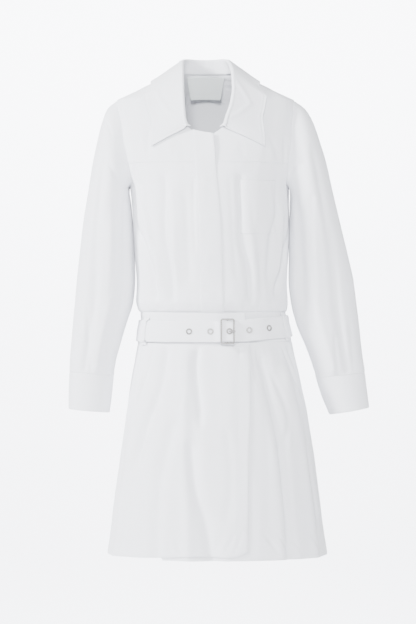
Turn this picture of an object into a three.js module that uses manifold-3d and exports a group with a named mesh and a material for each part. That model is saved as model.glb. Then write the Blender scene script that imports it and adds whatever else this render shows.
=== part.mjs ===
// Shirt dress with its own belt, filled out as worn, with no wearer inside.
// Millimetres, +Z up. The front faces -Y and the wearer's left is +X.
// The origin lies midway between the two high shoulder points, where the shoulders carry the dress.
// A place on the body is an angle and a level: 0 degrees is the middle of the front, 90 is the wearer's
// left side, 180 is the middle of the back and -90 is the right side.

import * as THREE from "three";
import Module from "manifold-3d";
import { mergeVertices } from "three/addons/utils/BufferGeometryUtils.js";

const CLOTH = 1.3; // wall of one layer of cloth
const SEAM = 0.3; // space between two pieces at a seam
const LAY = 0.6; // space under a piece that lies on another
const UNDERLAP = 1.4; // space between the two skirt fronts where they overlap
const SECTION_POWER = 2.25; // 2 would make each level an ellipse, and more makes it squarer

// Levels of the body: half width, depth before and behind the sides, sideways shift as it hangs.
const BODY_LEVELS = [
  { z: 16, half: 47, front: 43, back: 46, shift: 0 },
  { z: 4, half: 61, front: 46, back: 50, shift: 0 },
  { z: -4, half: 78.7, front: 48, back: 52, shift: 0 },
  { z: -10, half: 92, front: 50, back: 54, shift: 0 },
  { z: -19, half: 112, front: 53, back: 58, shift: 0 },
  { z: -31, half: 135.5, front: 57, back: 64, shift: 0 },
  { z: -42, half: 159, front: 61, back: 70, shift: 0 },
  { z: -48, half: 170, front: 63, back: 73, shift: 0 },
  { z: -75, half: 177, front: 71, back: 84, shift: 1 },
  { z: -116, half: 177, front: 84, back: 97, shift: 3 },
  { z: -150, half: 171, front: 95, back: 103, shift: 5 },
  { z: -176, half: 164, front: 102, back: 106, shift: 6 },
  { z: -200, half: 156, front: 107, back: 107, shift: 7 },
  { z: -215, half: 152.5, front: 109, back: 107, shift: 8 },
  { z: -245, half: 151, front: 111.5, back: 105.5, shift: 9.6 },
  { z: -275, half: 150.5, front: 112, back: 103, shift: 11 },
  { z: -340, half: 147.5, front: 107, back: 97, shift: 12 },
  { z: -400, half: 144, front: 100, back: 93, shift: 12.5 },
  { z: -432, half: 145.5, front: 99, back: 94, shift: 12.5 },
  { z: -448, half: 143, front: 94, back: 91, shift: 13.5 },
  { z: -455, half: 139.5, front: 89, back: 88, shift: 14.5 },
  { z: -470, half: 140, front: 88, back: 87, shift: 16 },
  { z: -488, half: 143.5, front: 88.5, back: 88, shift: 16.5 },
  { z: -507, half: 147, front: 90, back: 91, shift: 18 },
  { z: -526, half: 150.5, front: 94, back: 96, shift: 18.5 },
  { z: -564, half: 158.5, front: 101, back: 107, shift: 19.5 },
  { z: -603, half: 165.5, front: 108, back: 118, shift: 20.5 },
  { z: -641, half: 172.3, front: 114, back: 126, shift: 22 },
  { z: -676, half: 178, front: 118, back: 131, shift: 22 },
  { z: -722, half: 185, front: 123, back: 136, shift: 22 },
  { z: -768, half: 191, front: 127, back: 140, shift: 22 },
  { z: -814, half: 197.5, front: 131.5, back: 144, shift: 22.3 },
  { z: -860, half: 203, front: 135, back: 147.5, shift: 22.5 },
  { z: -915, half: 211, front: 140, back: 152, shift: 22.7 },
  { z: -960, half: 217, front: 144, back: 156, shift: 23 },
];

// Folds of the bodice and skirt, from top to bottom as [angle, level]. A trough has a depth below zero,
// and width is the distance from its middle to where it has faded.
const FOLDS = [
  { path: [[-73, -190], [-74, -274], [-60, -326], [-50, -383], [-44, -445]], depth: -6, width: 13 },
  { path: [[-63, -205], [-54, -264], [-44, -340], [-37, -425]], depth: 4, width: 12 },
  { path: [[-31, -180], [-35, -303], [-30, -378], [-29, -450]], depth: -6, width: 12 },
  { path: [[-25, -200], [-25, -420]], depth: 3, width: 9 },
  { path: [[-16, -215], [-15, -410]], depth: -3.5, width: 10 },
  { path: [[20, -180], [19.5, -304], [27, -389], [28, -450]], depth: -5, width: 11 },
  { path: [[27, -290], [33, -420]], depth: 3, width: 10 },
  { path: [[49, -225], [55, -257], [48, -302], [44, -410]], depth: -4.5, width: 12 },
  { path: [[60, -240], [58, -400]], depth: 4, width: 12 },
  { path: [[72, -187], [85, -261], [69, -339], [53, -440]], depth: -5.5, width: 14 },
  { path: [[112, -230], [125, -320], [132, -446]], depth: -6, width: 16 },
  { path: [[128, -190], [150, -300], [156, -450]], depth: -5, width: 16 },
  { path: [[143, -250], [146, -440]], depth: 4, width: 15 },
  { path: [[178, -260], [174, -448]], depth: -4.5, width: 17 },
  { path: [[232, -200], [212, -310], [203, -450]], depth: -5, width: 16 },
  { path: [[222, -300], [217, -450]], depth: 4, width: 15 },
  { path: [[248, -235], [238, -330], [230, -446]], depth: -6, width: 16 },
  { path: [[-10, -505], [-12, -552], [-10, -608], [-8, -670]], depth: -4.5, width: 10 },
  { path: [[-15, -680], [-11, -780], [-5, -843], [-1, -950]], depth: -6, width: 15 },
  { path: [[-20, -505], [-17, -701], [-13.5, -825], [-12, -950]], depth: 4.5, width: 12 },
  { path: [[-36, -505], [-37, -577], [-48, -666], [-55, -760]], depth: -6, width: 16 },
  { path: [[-24, -640], [-32, -782], [-30, -950]], depth: -5, width: 17 },
  { path: [[-62, -560], [-66, -950]], depth: 5, width: 22 },
  { path: [[31, -505], [36, -627], [40, -750], [38, -950]], depth: -6, width: 17 },
  { path: [[52, -540], [58, -700], [60, -950]], depth: 6, width: 22 },
  { path: [[64, -505], [76, -560], [82, -640]], depth: -4.5, width: 14 },
  { path: [[112, -505], [118, -700], [120, -950]], depth: -7, width: 24 },
  { path: [[140, -520], [142, -950]], depth: 6, width: 24 },
  { path: [[160, -505], [162, -720], [160, -950]], depth: -6, width: 20 },
  { path: [[196, -510], [194, -950]], depth: -6, width: 22 },
  { path: [[214, -530], [218, -950]], depth: 6, width: 22 },
  { path: [[238, -505], [240, -720], [236, -950]], depth: -7, width: 24 },
];
const FOLD_FADE = 32; // length over which a fold dies away at each end
const CALM_TOP = -449; // no fold crosses the waistband between these two levels
const CALM_BOTTOM = -508;
const CALM_FADE = 16;

// Levels of the seams.
const WAIST = -454;
const SKIRT_TOP = -508;
const YOKE = -172;
const BACK_NECK = 7;
const PLACKET_NECK_ROWS = [-131, -145, -158];
const BODICE_ROWS = [-192, -206, -215, -236, -256, -280, -306, -332, -358, -384, -410, -430, -444];
const SKIRT_ROWS = [-520, -540, -566, -596, -628, -662, -698, -734, -772, -810, -848, -884];
const SIDE_GAP = 0.08; // degrees from the side seam to each piece's edge

// The armhole is a round opening about the side: its levels, and how far it reaches round the body.
const ARMHOLE_MIDDLE = -131.5;
const ARMHOLE_HALF = 83.5;
const ARMHOLE_REACH = 26;
const ARMHOLE_POWER = 2.5;
const ARMHOLE_DEPTH = 42; // half its size from front to back
const ARMHOLE_ROWS = [-48, -53, -64, -82, -108, -140, -172, -192, -206, -215];

// Neckline: half width at each level, from the bottom of the opening to the shoulder.
const NECKLINE = [
  { z: -107, half: 30 },
  { z: -100, half: 37.5 },
  { z: -88, half: 45 },
  { z: -70, half: 52 },
  { z: -48, half: 57.5 },
  { z: -28, half: 60.5 },
  { z: -12, half: 61 },
  { z: -2, half: 60 },
  { z: 4, half: 58.5 },
];
const NECK_POINT = { angle: 2.3, z: -119 }; // lowest point of the neckline, at the front edge
const NECK_CORNER = { left: -124, right: -116 }; // level at which each yoke's front edge starts

// Free edge of the right front over the left one: the placket above the waist, the skirt panel below it.
const PLACKET_INNER = -6.8;
const PLACKET_EDGE = [
  { z: -119, angle: 2.3 },
  { z: -207, angle: 3.9 },
  { z: -337, angle: 5.7 },
  { z: -454, angle: 6.6 },
];
const PLACKET_GAPE = { stand: 4.5, from: -190, to: -135 }; // its free edge stands off near the neck
const PLACKET_SLOPE = 9; // fall of its top end from the inner edge to the free edge
const PLACKET_CELLS = 4;
const SKIRT_EDGE = [
  { z: -508, angle: 23.7 },
  { z: -553, angle: 21.7 },
  { z: -710, angle: 16.3 },
  { z: -900, angle: 13.2 },
];
const FRONT_RIGHT_EDGE = -5.5;
const FRONT_LEFT_EDGE = -5.2;

// Hem levels round the skirt. The right front ends a little higher than the piece under it.
const HEM_RIGHT = [
  { angle: -90, z: -914 },
  { angle: -49, z: -912 },
  { angle: -25, z: -910 },
  { angle: -8.5, z: -907 },
  { angle: 4.7, z: -909 },
  { angle: 13.2, z: -900 },
];
const HEM_LEVEL = -915;
const UNDERLAP_END = 27; // the left front is moved in under the right one as far as this angle
const UNDERLAP_OUT = 38; // and is out again at this one

const POCKET = { inner: 19.5, outer: 52, top: -206, bottom: -306 };
const FRONT_COLUMNS = [-5.2, 0, 6, 12, 19.5, 25, 31, 37.5, 44, 52, 60, 68, 76, 83, 90];
const RIGHT_COLUMNS = [5.5, 10, 15, 21, 27, 33, 39, 45, 52, 60, 68, 76, 83, 90];
const BACK_CELLS = 18;
const YOKE_CELLS = 9;
const SKIRT_RIGHT_COLUMNS = [-90, -80, -70, -61, -52, -44, -36, -28, -21, -14, -7, 0, 6, 11];
const SKIRT_LEFT_COLUMNS = [-28, -21, -14, -7, 0, 6, 11, 17, 24, 31, 38, 46, 54, 63, 72, 81, 90];

// Waistband and belt go round in these steps, so that their faces lie parallel.
const ROUND_STEP = 7.5;
const WAISTBAND_OVER = 22.5;
const WAISTBAND_UNDER = -7.5;

// Sleeves, from the armhole to the cuff: the outer and inner point of each ring seen from the front, half
// its depth, and how much of the armhole's own shape it keeps.
const SLEEVE_RIGHT = [
  { outerX: -187, outerZ: -63, innerX: -147, innerZ: -219, depth: 50, armhole: 0.7 },
  { outerX: -199, outerZ: -93, innerX: -146.6, innerZ: -225, depth: 57, armhole: 0.35 },
  { outerX: -209, outerZ: -133, innerX: -145.6, innerZ: -232, depth: 61, armhole: 0.1 },
  { outerX: -218, outerZ: -178, innerX: -144.2, innerZ: -244, depth: 63, armhole: 0 },
  { outerX: -226.5, outerZ: -230, innerX: -142.8, innerZ: -264, depth: 62, armhole: 0 },
  { outerX: -235, outerZ: -285, innerX: -140.4, innerZ: -300, depth: 60, armhole: 0 },
  { outerX: -241.3, outerZ: -340, innerX: -137.8, innerZ: -345, depth: 57, armhole: 0 },
  { outerX: -246.5, outerZ: -393, innerX: -135, innerZ: -395, depth: 53.5, armhole: 0 },
  { outerX: -249.6, outerZ: -430, innerX: -138, innerZ: -432, depth: 51, armhole: 0 },
  { outerX: -253.6, outerZ: -470, innerX: -150, innerZ: -471, depth: 48.5, armhole: 0 },
  { outerX: -256.8, outerZ: -510, innerX: -162, innerZ: -511, depth: 45.5, armhole: 0 },
  { outerX: -259.8, outerZ: -545, innerX: -171.5, innerZ: -548, depth: 40, armhole: 0 },
  { outerX: -260.6, outerZ: -567.5, innerX: -175, innerZ: -574.5, depth: 34.5, armhole: 0 },
];
const SLEEVE_LEFT = [
  { outerX: 190, outerZ: -63, innerX: 163.2, innerZ: -219, depth: 50, armhole: 0.7 },
  { outerX: 206, outerZ: -89, innerX: 163, innerZ: -225, depth: 56, armhole: 0.35 },
  { outerX: 219, outerZ: -125, innerX: 163, innerZ: -232, depth: 60, armhole: 0.1 },
  { outerX: 232, outerZ: -168, innerX: 163, innerZ: -244, depth: 62, armhole: 0 },
  { outerX: 244, outerZ: -222, innerX: 163.4, innerZ: -264, depth: 61, armhole: 0 },
  { outerX: 259, outerZ: -285, innerX: 163, innerZ: -300, depth: 56, armhole: 0 },
  { outerX: 273, outerZ: -343, innerX: 161.6, innerZ: -347, depth: 52, armhole: 0 },
  { outerX: 284, outerZ: -393, innerX: 159.2, innerZ: -396, depth: 48.5, armhole: 0 },
  { outerX: 288.5, outerZ: -430, innerX: 163, innerZ: -434, depth: 46.5, armhole: 0 },
  { outerX: 293, outerZ: -470, innerX: 173, innerZ: -475, depth: 45, armhole: 0 },
  { outerX: 297, outerZ: -510, innerX: 190, innerZ: -516, depth: 44, armhole: 0 },
  { outerX: 301.5, outerZ: -546, innerX: 204.5, innerZ: -555, depth: 39, armhole: 0 },
  { outerX: 305, outerZ: -568.5, innerX: 211, innerZ: -579.5, depth: 34, armhole: 0 },
];
const CUFF_RIGHT = [
  { outerX: -260.9, outerZ: -568, innerX: -175.5, innerZ: -575, depth: 33.5 },
  { outerX: -262.3, outerZ: -602, innerX: -179, innerZ: -609, depth: 33 },
  { outerX: -262.5, outerZ: -638, innerX: -183.4, innerZ: -645, depth: 31.5 },
];
const CUFF_LEFT = [
  { outerX: 305.5, outerZ: -569, innerX: 211.5, innerZ: -580, depth: 33.5 },
  { outerX: 309.5, outerZ: -602, innerX: 222.5, innerZ: -614, depth: 33 },
  { outerX: 314, outerZ: -635.5, innerX: 237, innerZ: -649, depth: 31.5 },
];
const ARM_MIDDLE_Y = { armhole: 3, cuff: -6 }; // the sleeves come forward a little on their way down
const CUFF_COLUMNS = 26;
const CUFF_START = 215; // where the cuff's free end lies, in degrees round the sleeve from its outer side
const CUFF_OVERLAP = 42;
const CUFF_STEP = { from: 0.08, to: 0.3 }; // share of its length over which it comes out from under its end
const CUFF_BUTTON_SHARE = 0.6; // the button's place across the overlap

// Folds along a sleeve: degrees round it from its outer side, and the share of its length they run over.
const SLEEVE_FOLD_FADE = 0.16; // share over which a fold dies away at each end
const SLEEVE_CALM = { from: 0.2, to: 0.8 }; // the side towards the body has no ridges, by its cosine
const SLEEVE_FOLDS = [
  { turn: 62, from: 0.1, to: 1.2, depth: -4.5, width: 13, drift: 12 },
  { turn: 100, from: 0.3, to: 1.2, depth: 4, width: 14, drift: 5 },
  { turn: 140, from: 0.18, to: 0.8, depth: -4, width: 13, drift: -14 },
  { turn: 235, from: 0.1, to: 0.9, depth: -4.5, width: 15, drift: 12 },
  { turn: 290, from: 0.3, to: 1.2, depth: -4, width: 15, drift: -10 },
];

// Collar from its front end to the middle of the back: the neckline's level or angle under it, the fold
// at its top, and the place on the body of its outer edge. foldX is given for the left and right side.
const COLLAR = [
  { u: 0, neckZ: -107, foldLeft: 33, foldRight: -34, foldY: -88, foldZ: -102, edge: 35, edgeZ: -142 },
  { u: 1, neckZ: -90, foldLeft: 38, foldRight: -37, foldY: -84, foldZ: -83, edge: 34.5, edgeZ: -116 },
  { u: 2, neckZ: -68, foldLeft: 46, foldRight: -39, foldY: -76, foldZ: -59, edge: 34, edgeZ: -90 },
  { u: 3, neckZ: -42, foldLeft: 50, foldRight: -40.5, foldY: -64, foldZ: -30, edge: 37, edgeZ: -64 },
  { u: 4, neckZ: -18, foldLeft: 49, foldRight: -41, foldY: -48, foldZ: -3, edge: 42, edgeZ: -43 },
  { u: 5, neckZ: -3, foldLeft: 45, foldRight: -41, foldY: -27, foldZ: 17, edge: 53, edgeZ: -25 },
  { u: 6, neckAngle: 90, foldLeft: 41, foldRight: -40, foldY: 2, foldZ: 28, edge: 90, edgeZ: -13 },
  { u: 7, neckAngle: 113, foldLeft: 36, foldRight: -36, foldY: 24, foldZ: 32.5, edge: 121, edgeZ: -14 },
  { u: 8, neckAngle: 137, foldLeft: 28, foldRight: -28, foldY: 35, foldZ: 34, edge: 141, edgeZ: -15 },
  { u: 9, neckAngle: 160, foldLeft: 15, foldRight: -15, foldY: 41, foldZ: 34, edge: 162, edgeZ: -16 },
  { u: 10, neckAngle: 180, foldLeft: 0, foldRight: 0, foldY: 43, foldZ: 34, edge: 180, edgeZ: -16 },
];
const COLLAR_STEPS = 17; // for each half of the collar
const COLLAR_WALL = 1.3;
const COLLAR_FOOT = 1.9; // the stand starts this far inside and over the neckline's edge
const COLLAR_ROLL = 2.7; // radius of the fold
const COLLAR_CLEAR = 3.2; // least height of the leaf's upper face over the body

const LABEL = { halfTop: 36.5, halfBottom: 29, top: 3, bottom: -42, hang: 6, wall: 1, arch: 2 };
const LABEL_CELLS = { down: 4, across: 8 };

// Belt: one strap that starts at the buckle's middle bar, goes round by the right side and the back, and
// comes through the buckle again to its free end. Level of its middle at each angle.
const BELT_LEVEL = [
  { angle: -180, z: -484 },
  { angle: -90, z: -489 },
  { angle: 0, z: -490 },
  { angle: 12, z: -489.5 },
  { angle: 43, z: -484 },
  { angle: 90, z: -480 },
  { angle: 180, z: -484 },
];
const BELT_HALF = 20;
const BELT_WALL = 2;
const BELT_UNDER = 4.6; // height of the strap's outer face over the body where one layer lies
const BELT_OVER = BELT_UNDER + BELT_WALL + LAY; // and where the free end lies on it
const BELT_START = 7.5;
const BELT_TIP = -62; // the free end goes this far past the front
const BELT_TIP_ROUND = 16;
const BELT_RISE = { from: 52.5, to: 30 }; // where the strap climbs onto the layer below

const BUCKLE = { angle: 7.7, width: 27, height: 48, bar: 3.2, thick: 2.8, corner: 4.5, bend: 0.5 };
const BUCKLE_CLEAR = 0.9; // space between the strap and the frame over it
const BAR_RADIUS = 1;
const PRONG_RADIUS = 1.25;
const PRONG = { hole: 3.6, rise: 1.5, past: 0.8 }; // where it passes the strap, and how it meets the frame
const STRAP_RAISE = 3.4; // the strap is raised this much to cross the middle bar
const STRAP_RAISED = { flat: 14.5, end: 24 }; // half the length that is raised, and where it is down again
const BUCKLE_STOPS = [18.5, 16, 13.5, 11, 5, 2.5, -2.5, -5]; // the strap has closer steps at these angles
const TIP_STOPS = [-56, -58.5, -60.2, -61.3, -62];
const STOP_CLEAR = 1.1; // an even step this close to one of them is left out
const TIP_BLUNT = 0.3; // share of its width that the strap still has at its end

const EYELETS = [-16.2, -2, 9, 23.9, 42.7]; // angle of each, from the free end
const EYELET = { outer: 6.2, inner: 3, hole: 4.1, barrel: 3.8, lip: 0.8, bevel: 0.5, clear: 0.35 };

const LOOPS = [
  { name: "belt_loop_right", angle: -63, half: 4.2, over: BELT_OVER },
  { name: "belt_loop_left", angle: 68, half: 4.2, over: BELT_UNDER },
];
const LOOP_WALL = 1.5;
const LOOP_REACH = 6; // it is sewn down this far above and below the belt
const LOOP_BEND = [
  { past: 2.6, under: Infinity },
  { past: 1.4, under: 1 },
  { past: -1, under: 0 },
]; // it rises to its full height over these distances past the belt's edge

const BUTTON = { radius: 5.5, thick: 2.4, rim: 0.6 };

const WHITE_CLOTH = new THREE.Color(0.9, 0.905, 0.91);
const LABEL_TAPE = new THREE.Color(0.78, 0.8, 0.77);
const METAL = new THREE.Color(0.72, 0.73, 0.74);

const rad = THREE.MathUtils.degToRad;
const { clamp, lerp, smoothstep } = THREE.MathUtils;

// A smooth curve through one column of a table, which never overshoots its rows.
function smoothColumn(rows, key, column) {
  const sorted = [...rows].sort((one, two) => one[key] - two[key]);
  const at = sorted.map((row) => row[key]);
  const value = sorted.map((row) => row[column]);
  const last = at.length - 1;
  const steps = at.slice(1).map((next, i) => (value[i + 1] - value[i]) / (next - at[i]));
  const slopes = at.map((_, i) => {
    if (i === 0 || i === last) return steps[Math.min(i, last - 1)];
    const [before, after] = [steps[i - 1], steps[i]];
    return before * after > 0 ? (2 * before * after) / (before + after) : 0;
  });
  return (place) => {
    const p = clamp(place, at[0], at[last]);
    let i = 0;
    while (i < last - 1 && p > at[i + 1]) i += 1;
    const width = at[i + 1] - at[i];
    const t = (p - at[i]) / width;
    const rise = t * t * (3 - 2 * t);
    const early = t * (1 - t) * (1 - t) * width * slopes[i];
    const late = t * t * (1 - t) * width * slopes[i + 1];
    return value[i] * (1 - rise) + value[i + 1] * rise + early - late;
  };
}

const bodyHalf = smoothColumn(BODY_LEVELS, "z", "half");
const bodyFront = smoothColumn(BODY_LEVELS, "z", "front");
const bodyBack = smoothColumn(BODY_LEVELS, "z", "back");
const bodyShift = smoothColumn(BODY_LEVELS, "z", "shift");
const necklineHalf = smoothColumn(NECKLINE, "z", "half");
const placketEdge = smoothColumn(PLACKET_EDGE, "z", "angle");
const skirtEdge = smoothColumn(SKIRT_EDGE, "z", "angle");
const hemRight = smoothColumn(HEM_RIGHT, "angle", "z");

const foldCurves = FOLDS.map(({ path, depth, width }) => {
  const rows = path.map(([angle, z]) => ({ angle, z }));
  const middle = smoothColumn(rows, "z", "angle");
  return { middle, top: rows[0].z, bottom: rows[rows.length - 1].z, depth, width };
});

// Height of the folds over the plain form, at a place on the body.
function foldLift(angle, z) {
  const calm = smoothstep(Math.max(z - CALM_TOP, CALM_BOTTOM - z), 0, CALM_FADE);
  const reach = (bodyHalf(z) + bodyFront(z)) / 2;
  let lift = 0;
  for (const { middle, top, bottom, depth, width } of foldCurves) {
    const end = Math.min(top - z, z - bottom);
    if (end <= 0) continue;
    const off = THREE.MathUtils.euclideanModulo(angle - middle(z) + 180, 360) - 180;
    const away = (rad(off) * reach) / width;
    lift += depth * Math.exp(-2 * away * away) * smoothstep(end, 0, FOLD_FADE);
  }
  return lift * calm;
}

// The outer face of the cloth at an angle and level.
function skin(angle, z) {
  const side = Math.sin(rad(angle));
  const ahead = Math.cos(rad(angle));
  const round = 2 / SECTION_POWER;
  const x = bodyHalf(z) * Math.sign(side) * Math.abs(side) ** round;
  const depth = ahead > 0 ? bodyFront(z) : bodyBack(z);
  const y = -depth * Math.sign(ahead) * Math.abs(ahead) ** round;
  const swell = 1 + foldLift(angle, z) / Math.hypot(x, y);
  return new THREE.Vector3(bodyShift(z) + x * swell, y * swell, z);
}

function skinNormal(angle, z) {
  const across = skin(angle + 1, z).sub(skin(angle - 1, z));
  const upward = skin(angle, z + 1).sub(skin(angle, z - 1));
  return across.cross(upward).normalize();
}

// A place on the body, moved out by lift.
function onBody(angle, z, lift = 0) {
  return skin(angle, z).addScaledVector(skinNormal(angle, z), lift);
}

// The angles on the front and on the back at which the body has a given x at a level.
function frontAngle(x, z) {
  const off = x - bodyShift(z);
  const ratio = clamp(Math.abs(off) / bodyHalf(z), 0, 1);
  return Math.sign(off) * THREE.MathUtils.radToDeg(Math.asin(ratio ** (SECTION_POWER / 2)));
}

const backAngle = (x, z) => 180 - frontAngle(x, z);

// A closed wall between two grids of points. wrap joins the last column to the first.
function wallBetween(outer, inner, wrap = false) {
  const rows = outer.length;
  const columns = outer[0].length;
  const points = [outer, inner].flatMap((grid) => grid.flat());
  const at = (face, i, j) => face * rows * columns + i * columns + (j % columns);
  const faces = [];
  const quad = (a, b, c, d) => faces.push([a, b, c], [a, c, d]);
  const across = wrap ? columns : columns - 1;
  for (let i = 0; i < rows - 1; i += 1) {
    for (let j = 0; j < across; j += 1) {
      quad(at(0, i, j), at(0, i, j + 1), at(0, i + 1, j + 1), at(0, i + 1, j));
      quad(at(1, i, j), at(1, i + 1, j), at(1, i + 1, j + 1), at(1, i, j + 1));
    }
  }
  for (let j = 0; j < across; j += 1) {
    quad(at(0, 0, j + 1), at(0, 0, j), at(1, 0, j), at(1, 0, j + 1));
    quad(at(0, rows - 1, j), at(0, rows - 1, j + 1), at(1, rows - 1, j + 1), at(1, rows - 1, j));
  }
  for (let i = 0; i < rows - 1 && !wrap; i += 1) {
    const end = columns - 1;
    quad(at(0, i, 0), at(0, i + 1, 0), at(1, i + 1, 0), at(1, i, 0));
    quad(at(0, i + 1, end), at(0, i, end), at(1, i, end), at(1, i + 1, end));
  }
  let volume = 0;
  for (const [a, b, c] of faces) {
    volume += points[a].dot(new THREE.Vector3().crossVectors(points[b], points[c]));
  }
  const turned = volume < 0 ? faces.map(([a, b, c]) => [a, c, b]) : faces;
  const geometry = new THREE.BufferGeometry().setFromPoints(points);
  geometry.setIndex(turned.flat());
  geometry.computeVertexNormals();
  return geometry;
}

// A wall on the body, from rows of places [angle, level, lift].
function panel(places, wall = CLOTH) {
  const outer = places.map((row) => row.map(([angle, z, lift = 0]) => onBody(angle, z, lift)));
  const inner = places.map((row) => row.map(([angle, z, lift = 0]) => onBody(angle, z, lift - wall)));
  return wallBetween(outer, inner);
}

// A wall under a grid of points, as thick as wall, with side telling which way it goes.
function wallUnder(grid, wall, side, wrap = false) {
  const rows = grid.length;
  const columns = grid[0].length;
  const inner = grid.map((row, i) =>
    row.map((point, j) => {
      const left = wrap ? row[(j + columns - 1) % columns] : row[Math.max(j - 1, 0)];
      const right = wrap ? row[(j + 1) % columns] : row[Math.min(j + 1, columns - 1)];
      const below = grid[Math.max(i - 1, 0)][j];
      const above = grid[Math.min(i + 1, rows - 1)][j];
      const across = new THREE.Vector3().subVectors(right, left);
      const along = new THREE.Vector3().subVectors(above, below);
      return point.clone().addScaledVector(across.cross(along).normalize(), side * wall);
    }),
  );
  return wallBetween(grid, inner, wrap);
}

const group = new THREE.Group();

function add(name, geometry, color = WHITE_CLOTH, roughness = 0.85, metalness = 0) {
  const material = new THREE.MeshStandardMaterial({ color, roughness, metalness });
  const mesh = new THREE.Mesh(geometry, material);
  mesh.name = name;
  group.add(mesh);
  return mesh;
}

// Angle from the side to the armhole's edge at a level, and zero above and below the armhole.
function armholeReach(z) {
  const part = Math.abs(z - ARMHOLE_MIDDLE) / ARMHOLE_HALF;
  if (part >= 1) return 0;
  return ARMHOLE_REACH * (1 - part ** ARMHOLE_POWER) ** (1 / ARMHOLE_POWER);
}

const sideEdge = (z) => 90 - Math.max(armholeReach(z), SIDE_GAP);

// Bodice fronts, between the chest seam and the waist. Columns past fixed are squeezed by the armhole.
function frontPanel(columns, side, fixed) {
  const rows = [YOKE - SEAM / 2, ...BODICE_ROWS, WAIST];
  return panel(
    rows.map((z) =>
      columns.map((angle) => {
        const squeeze = (sideEdge(z) - fixed) / (90 - fixed);
        return [side * (angle > fixed ? fixed + (angle - fixed) * squeeze : angle), z];
      }),
    ),
  );
}

add("front_left", frontPanel(FRONT_COLUMNS, 1, POCKET.outer));
add("front_right", frontPanel(RIGHT_COLUMNS, -1, POCKET.outer));

// Front yokes: a sheet stretched between the chest seam, the armhole, the shoulder and the neckline.
// Each row between two of the armhole's ends halfway along the armhole's straight stretch.
function yoke(side, frontEdge, corner) {
  const armholeSide = ARMHOLE_ROWS.filter((z) => z >= YOKE).reverse();
  const rows = 2 * armholeSide.length - 1;
  const neckRows = [...NECKLINE, { z: BACK_NECK }];
  const innerSide = [[frontEdge, YOKE + SEAM / 2], ...corner];
  for (const { z, half } of neckRows) {
    const angle = half ? Math.abs(frontAngle(side * half, z)) : 90 - SIDE_GAP;
    innerSide.push([side * angle, z]);
  }
  const innerCurve = new THREE.CurvePath();
  for (let i = 1; i < innerSide.length; i += 1) {
    const [from, to] = [innerSide[i - 1], innerSide[i]].map(([a, z]) => new THREE.Vector2(a, z));
    innerCurve.add(new THREE.LineCurve(from, to));
  }
  const outerAt = (v) => {
    const place = v * (armholeSide.length - 1);
    const [from, to] = [armholeSide[Math.floor(place)], armholeSide[Math.ceil(place)]];
    const z = lerp(from, to, place % 1);
    return [side * lerp(sideEdge(from), sideEdge(to), place % 1), Math.max(z, YOKE + SEAM / 2)];
  };
  const bottomAt = (u) => [lerp(frontEdge, outerAt(0)[0], u), YOKE + SEAM / 2];
  const topAt = (u) => [side * (90 - SIDE_GAP), lerp(BACK_NECK, ARMHOLE_ROWS[0], u)];
  const innerAt = (v) => innerCurve.getPointAt(v).toArray();
  const places = [];
  for (let i = 0; i < rows; i += 1) {
    const v = i / (rows - 1);
    const row = [];
    for (let j = 0; j <= YOKE_CELLS; j += 1) {
      const u = j / YOKE_CELLS;
      row.push(
        [0, 1].map((k) => {
          const edges = lerp(bottomAt(u)[k], topAt(u)[k], v) + lerp(innerAt(v)[k], outerAt(v)[k], u);
          const corners = lerp(
            lerp(bottomAt(0)[k], bottomAt(1)[k], u),
            lerp(topAt(0)[k], topAt(1)[k], u),
            v,
          );
          return edges - corners;
        }),
      );
    }
    places.push(row);
  }
  const faces = [0, -CLOTH].map((lift) =>
    places.map((row) => row.map(([angle, z]) => onBody(angle, z, lift))),
  );
  for (const face of faces) {
    const rim = face.map((row) => row[YOKE_CELLS]);
    for (let i = 1; i < rows; i += 2) rim[i].lerpVectors(rim[i - 1], rim[i + 1], 0.5);
  }
  return wallBetween(...faces);
}

const leftCorner = [[FRONT_LEFT_EDGE, NECK_CORNER.left], [NECK_POINT.angle, NECK_POINT.z]];
const rightCorner = [[FRONT_RIGHT_EDGE, NECK_CORNER.right]];
add("front_yoke_left", yoke(1, FRONT_LEFT_EDGE, leftCorner));
add("front_yoke_right", yoke(-1, FRONT_RIGHT_EDGE, rightCorner));

// Back of the bodice, from the waist to the back neck.
function backPanel() {
  const upper = [BACK_NECK, -6, -20, -34];
  const rows = [...upper, ...ARMHOLE_ROWS, ...BODICE_ROWS.slice(3), WAIST];
  return panel(
    rows.map((z) => {
      const edge = 180 - sideEdge(z);
      return Array.from({ length: BACK_CELLS + 1 }, (_, j) => [lerp(edge, 360 - edge, j / BACK_CELLS), z]);
    }),
  );
}

add("back", backPanel());

// The placket lies on both fronts and their yokes, and its free edge gapes near the neck.
function placketPanel() {
  const rows = [NECK_POINT.z, ...PLACKET_NECK_ROWS, YOKE, ...BODICE_ROWS, WAIST];
  return panel(
    rows.map((z, i) =>
      Array.from({ length: PLACKET_CELLS + 1 }, (_, j) => {
        const across = j / PLACKET_CELLS;
        const gape = PLACKET_GAPE.stand * across * across * smoothstep(z, PLACKET_GAPE.from, PLACKET_GAPE.to);
        const slope = i === 0 ? PLACKET_SLOPE * (1 - across) : 0;
        return [lerp(PLACKET_INNER, placketEdge(z), across), z + slope, CLOTH + LAY + gape];
      }),
    ),
  );
}

add("placket", placketPanel());

function pocketPanel() {
  const columns = FRONT_COLUMNS.filter((angle) => angle >= POCKET.inner && angle <= POCKET.outer);
  const rows = BODICE_ROWS.filter((z) => z <= POCKET.top && z >= POCKET.bottom);
  return panel(rows.map((z) => columns.map((angle) => [angle, z, CLOTH + LAY])));
}

add("pocket", pocketPanel());

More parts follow.
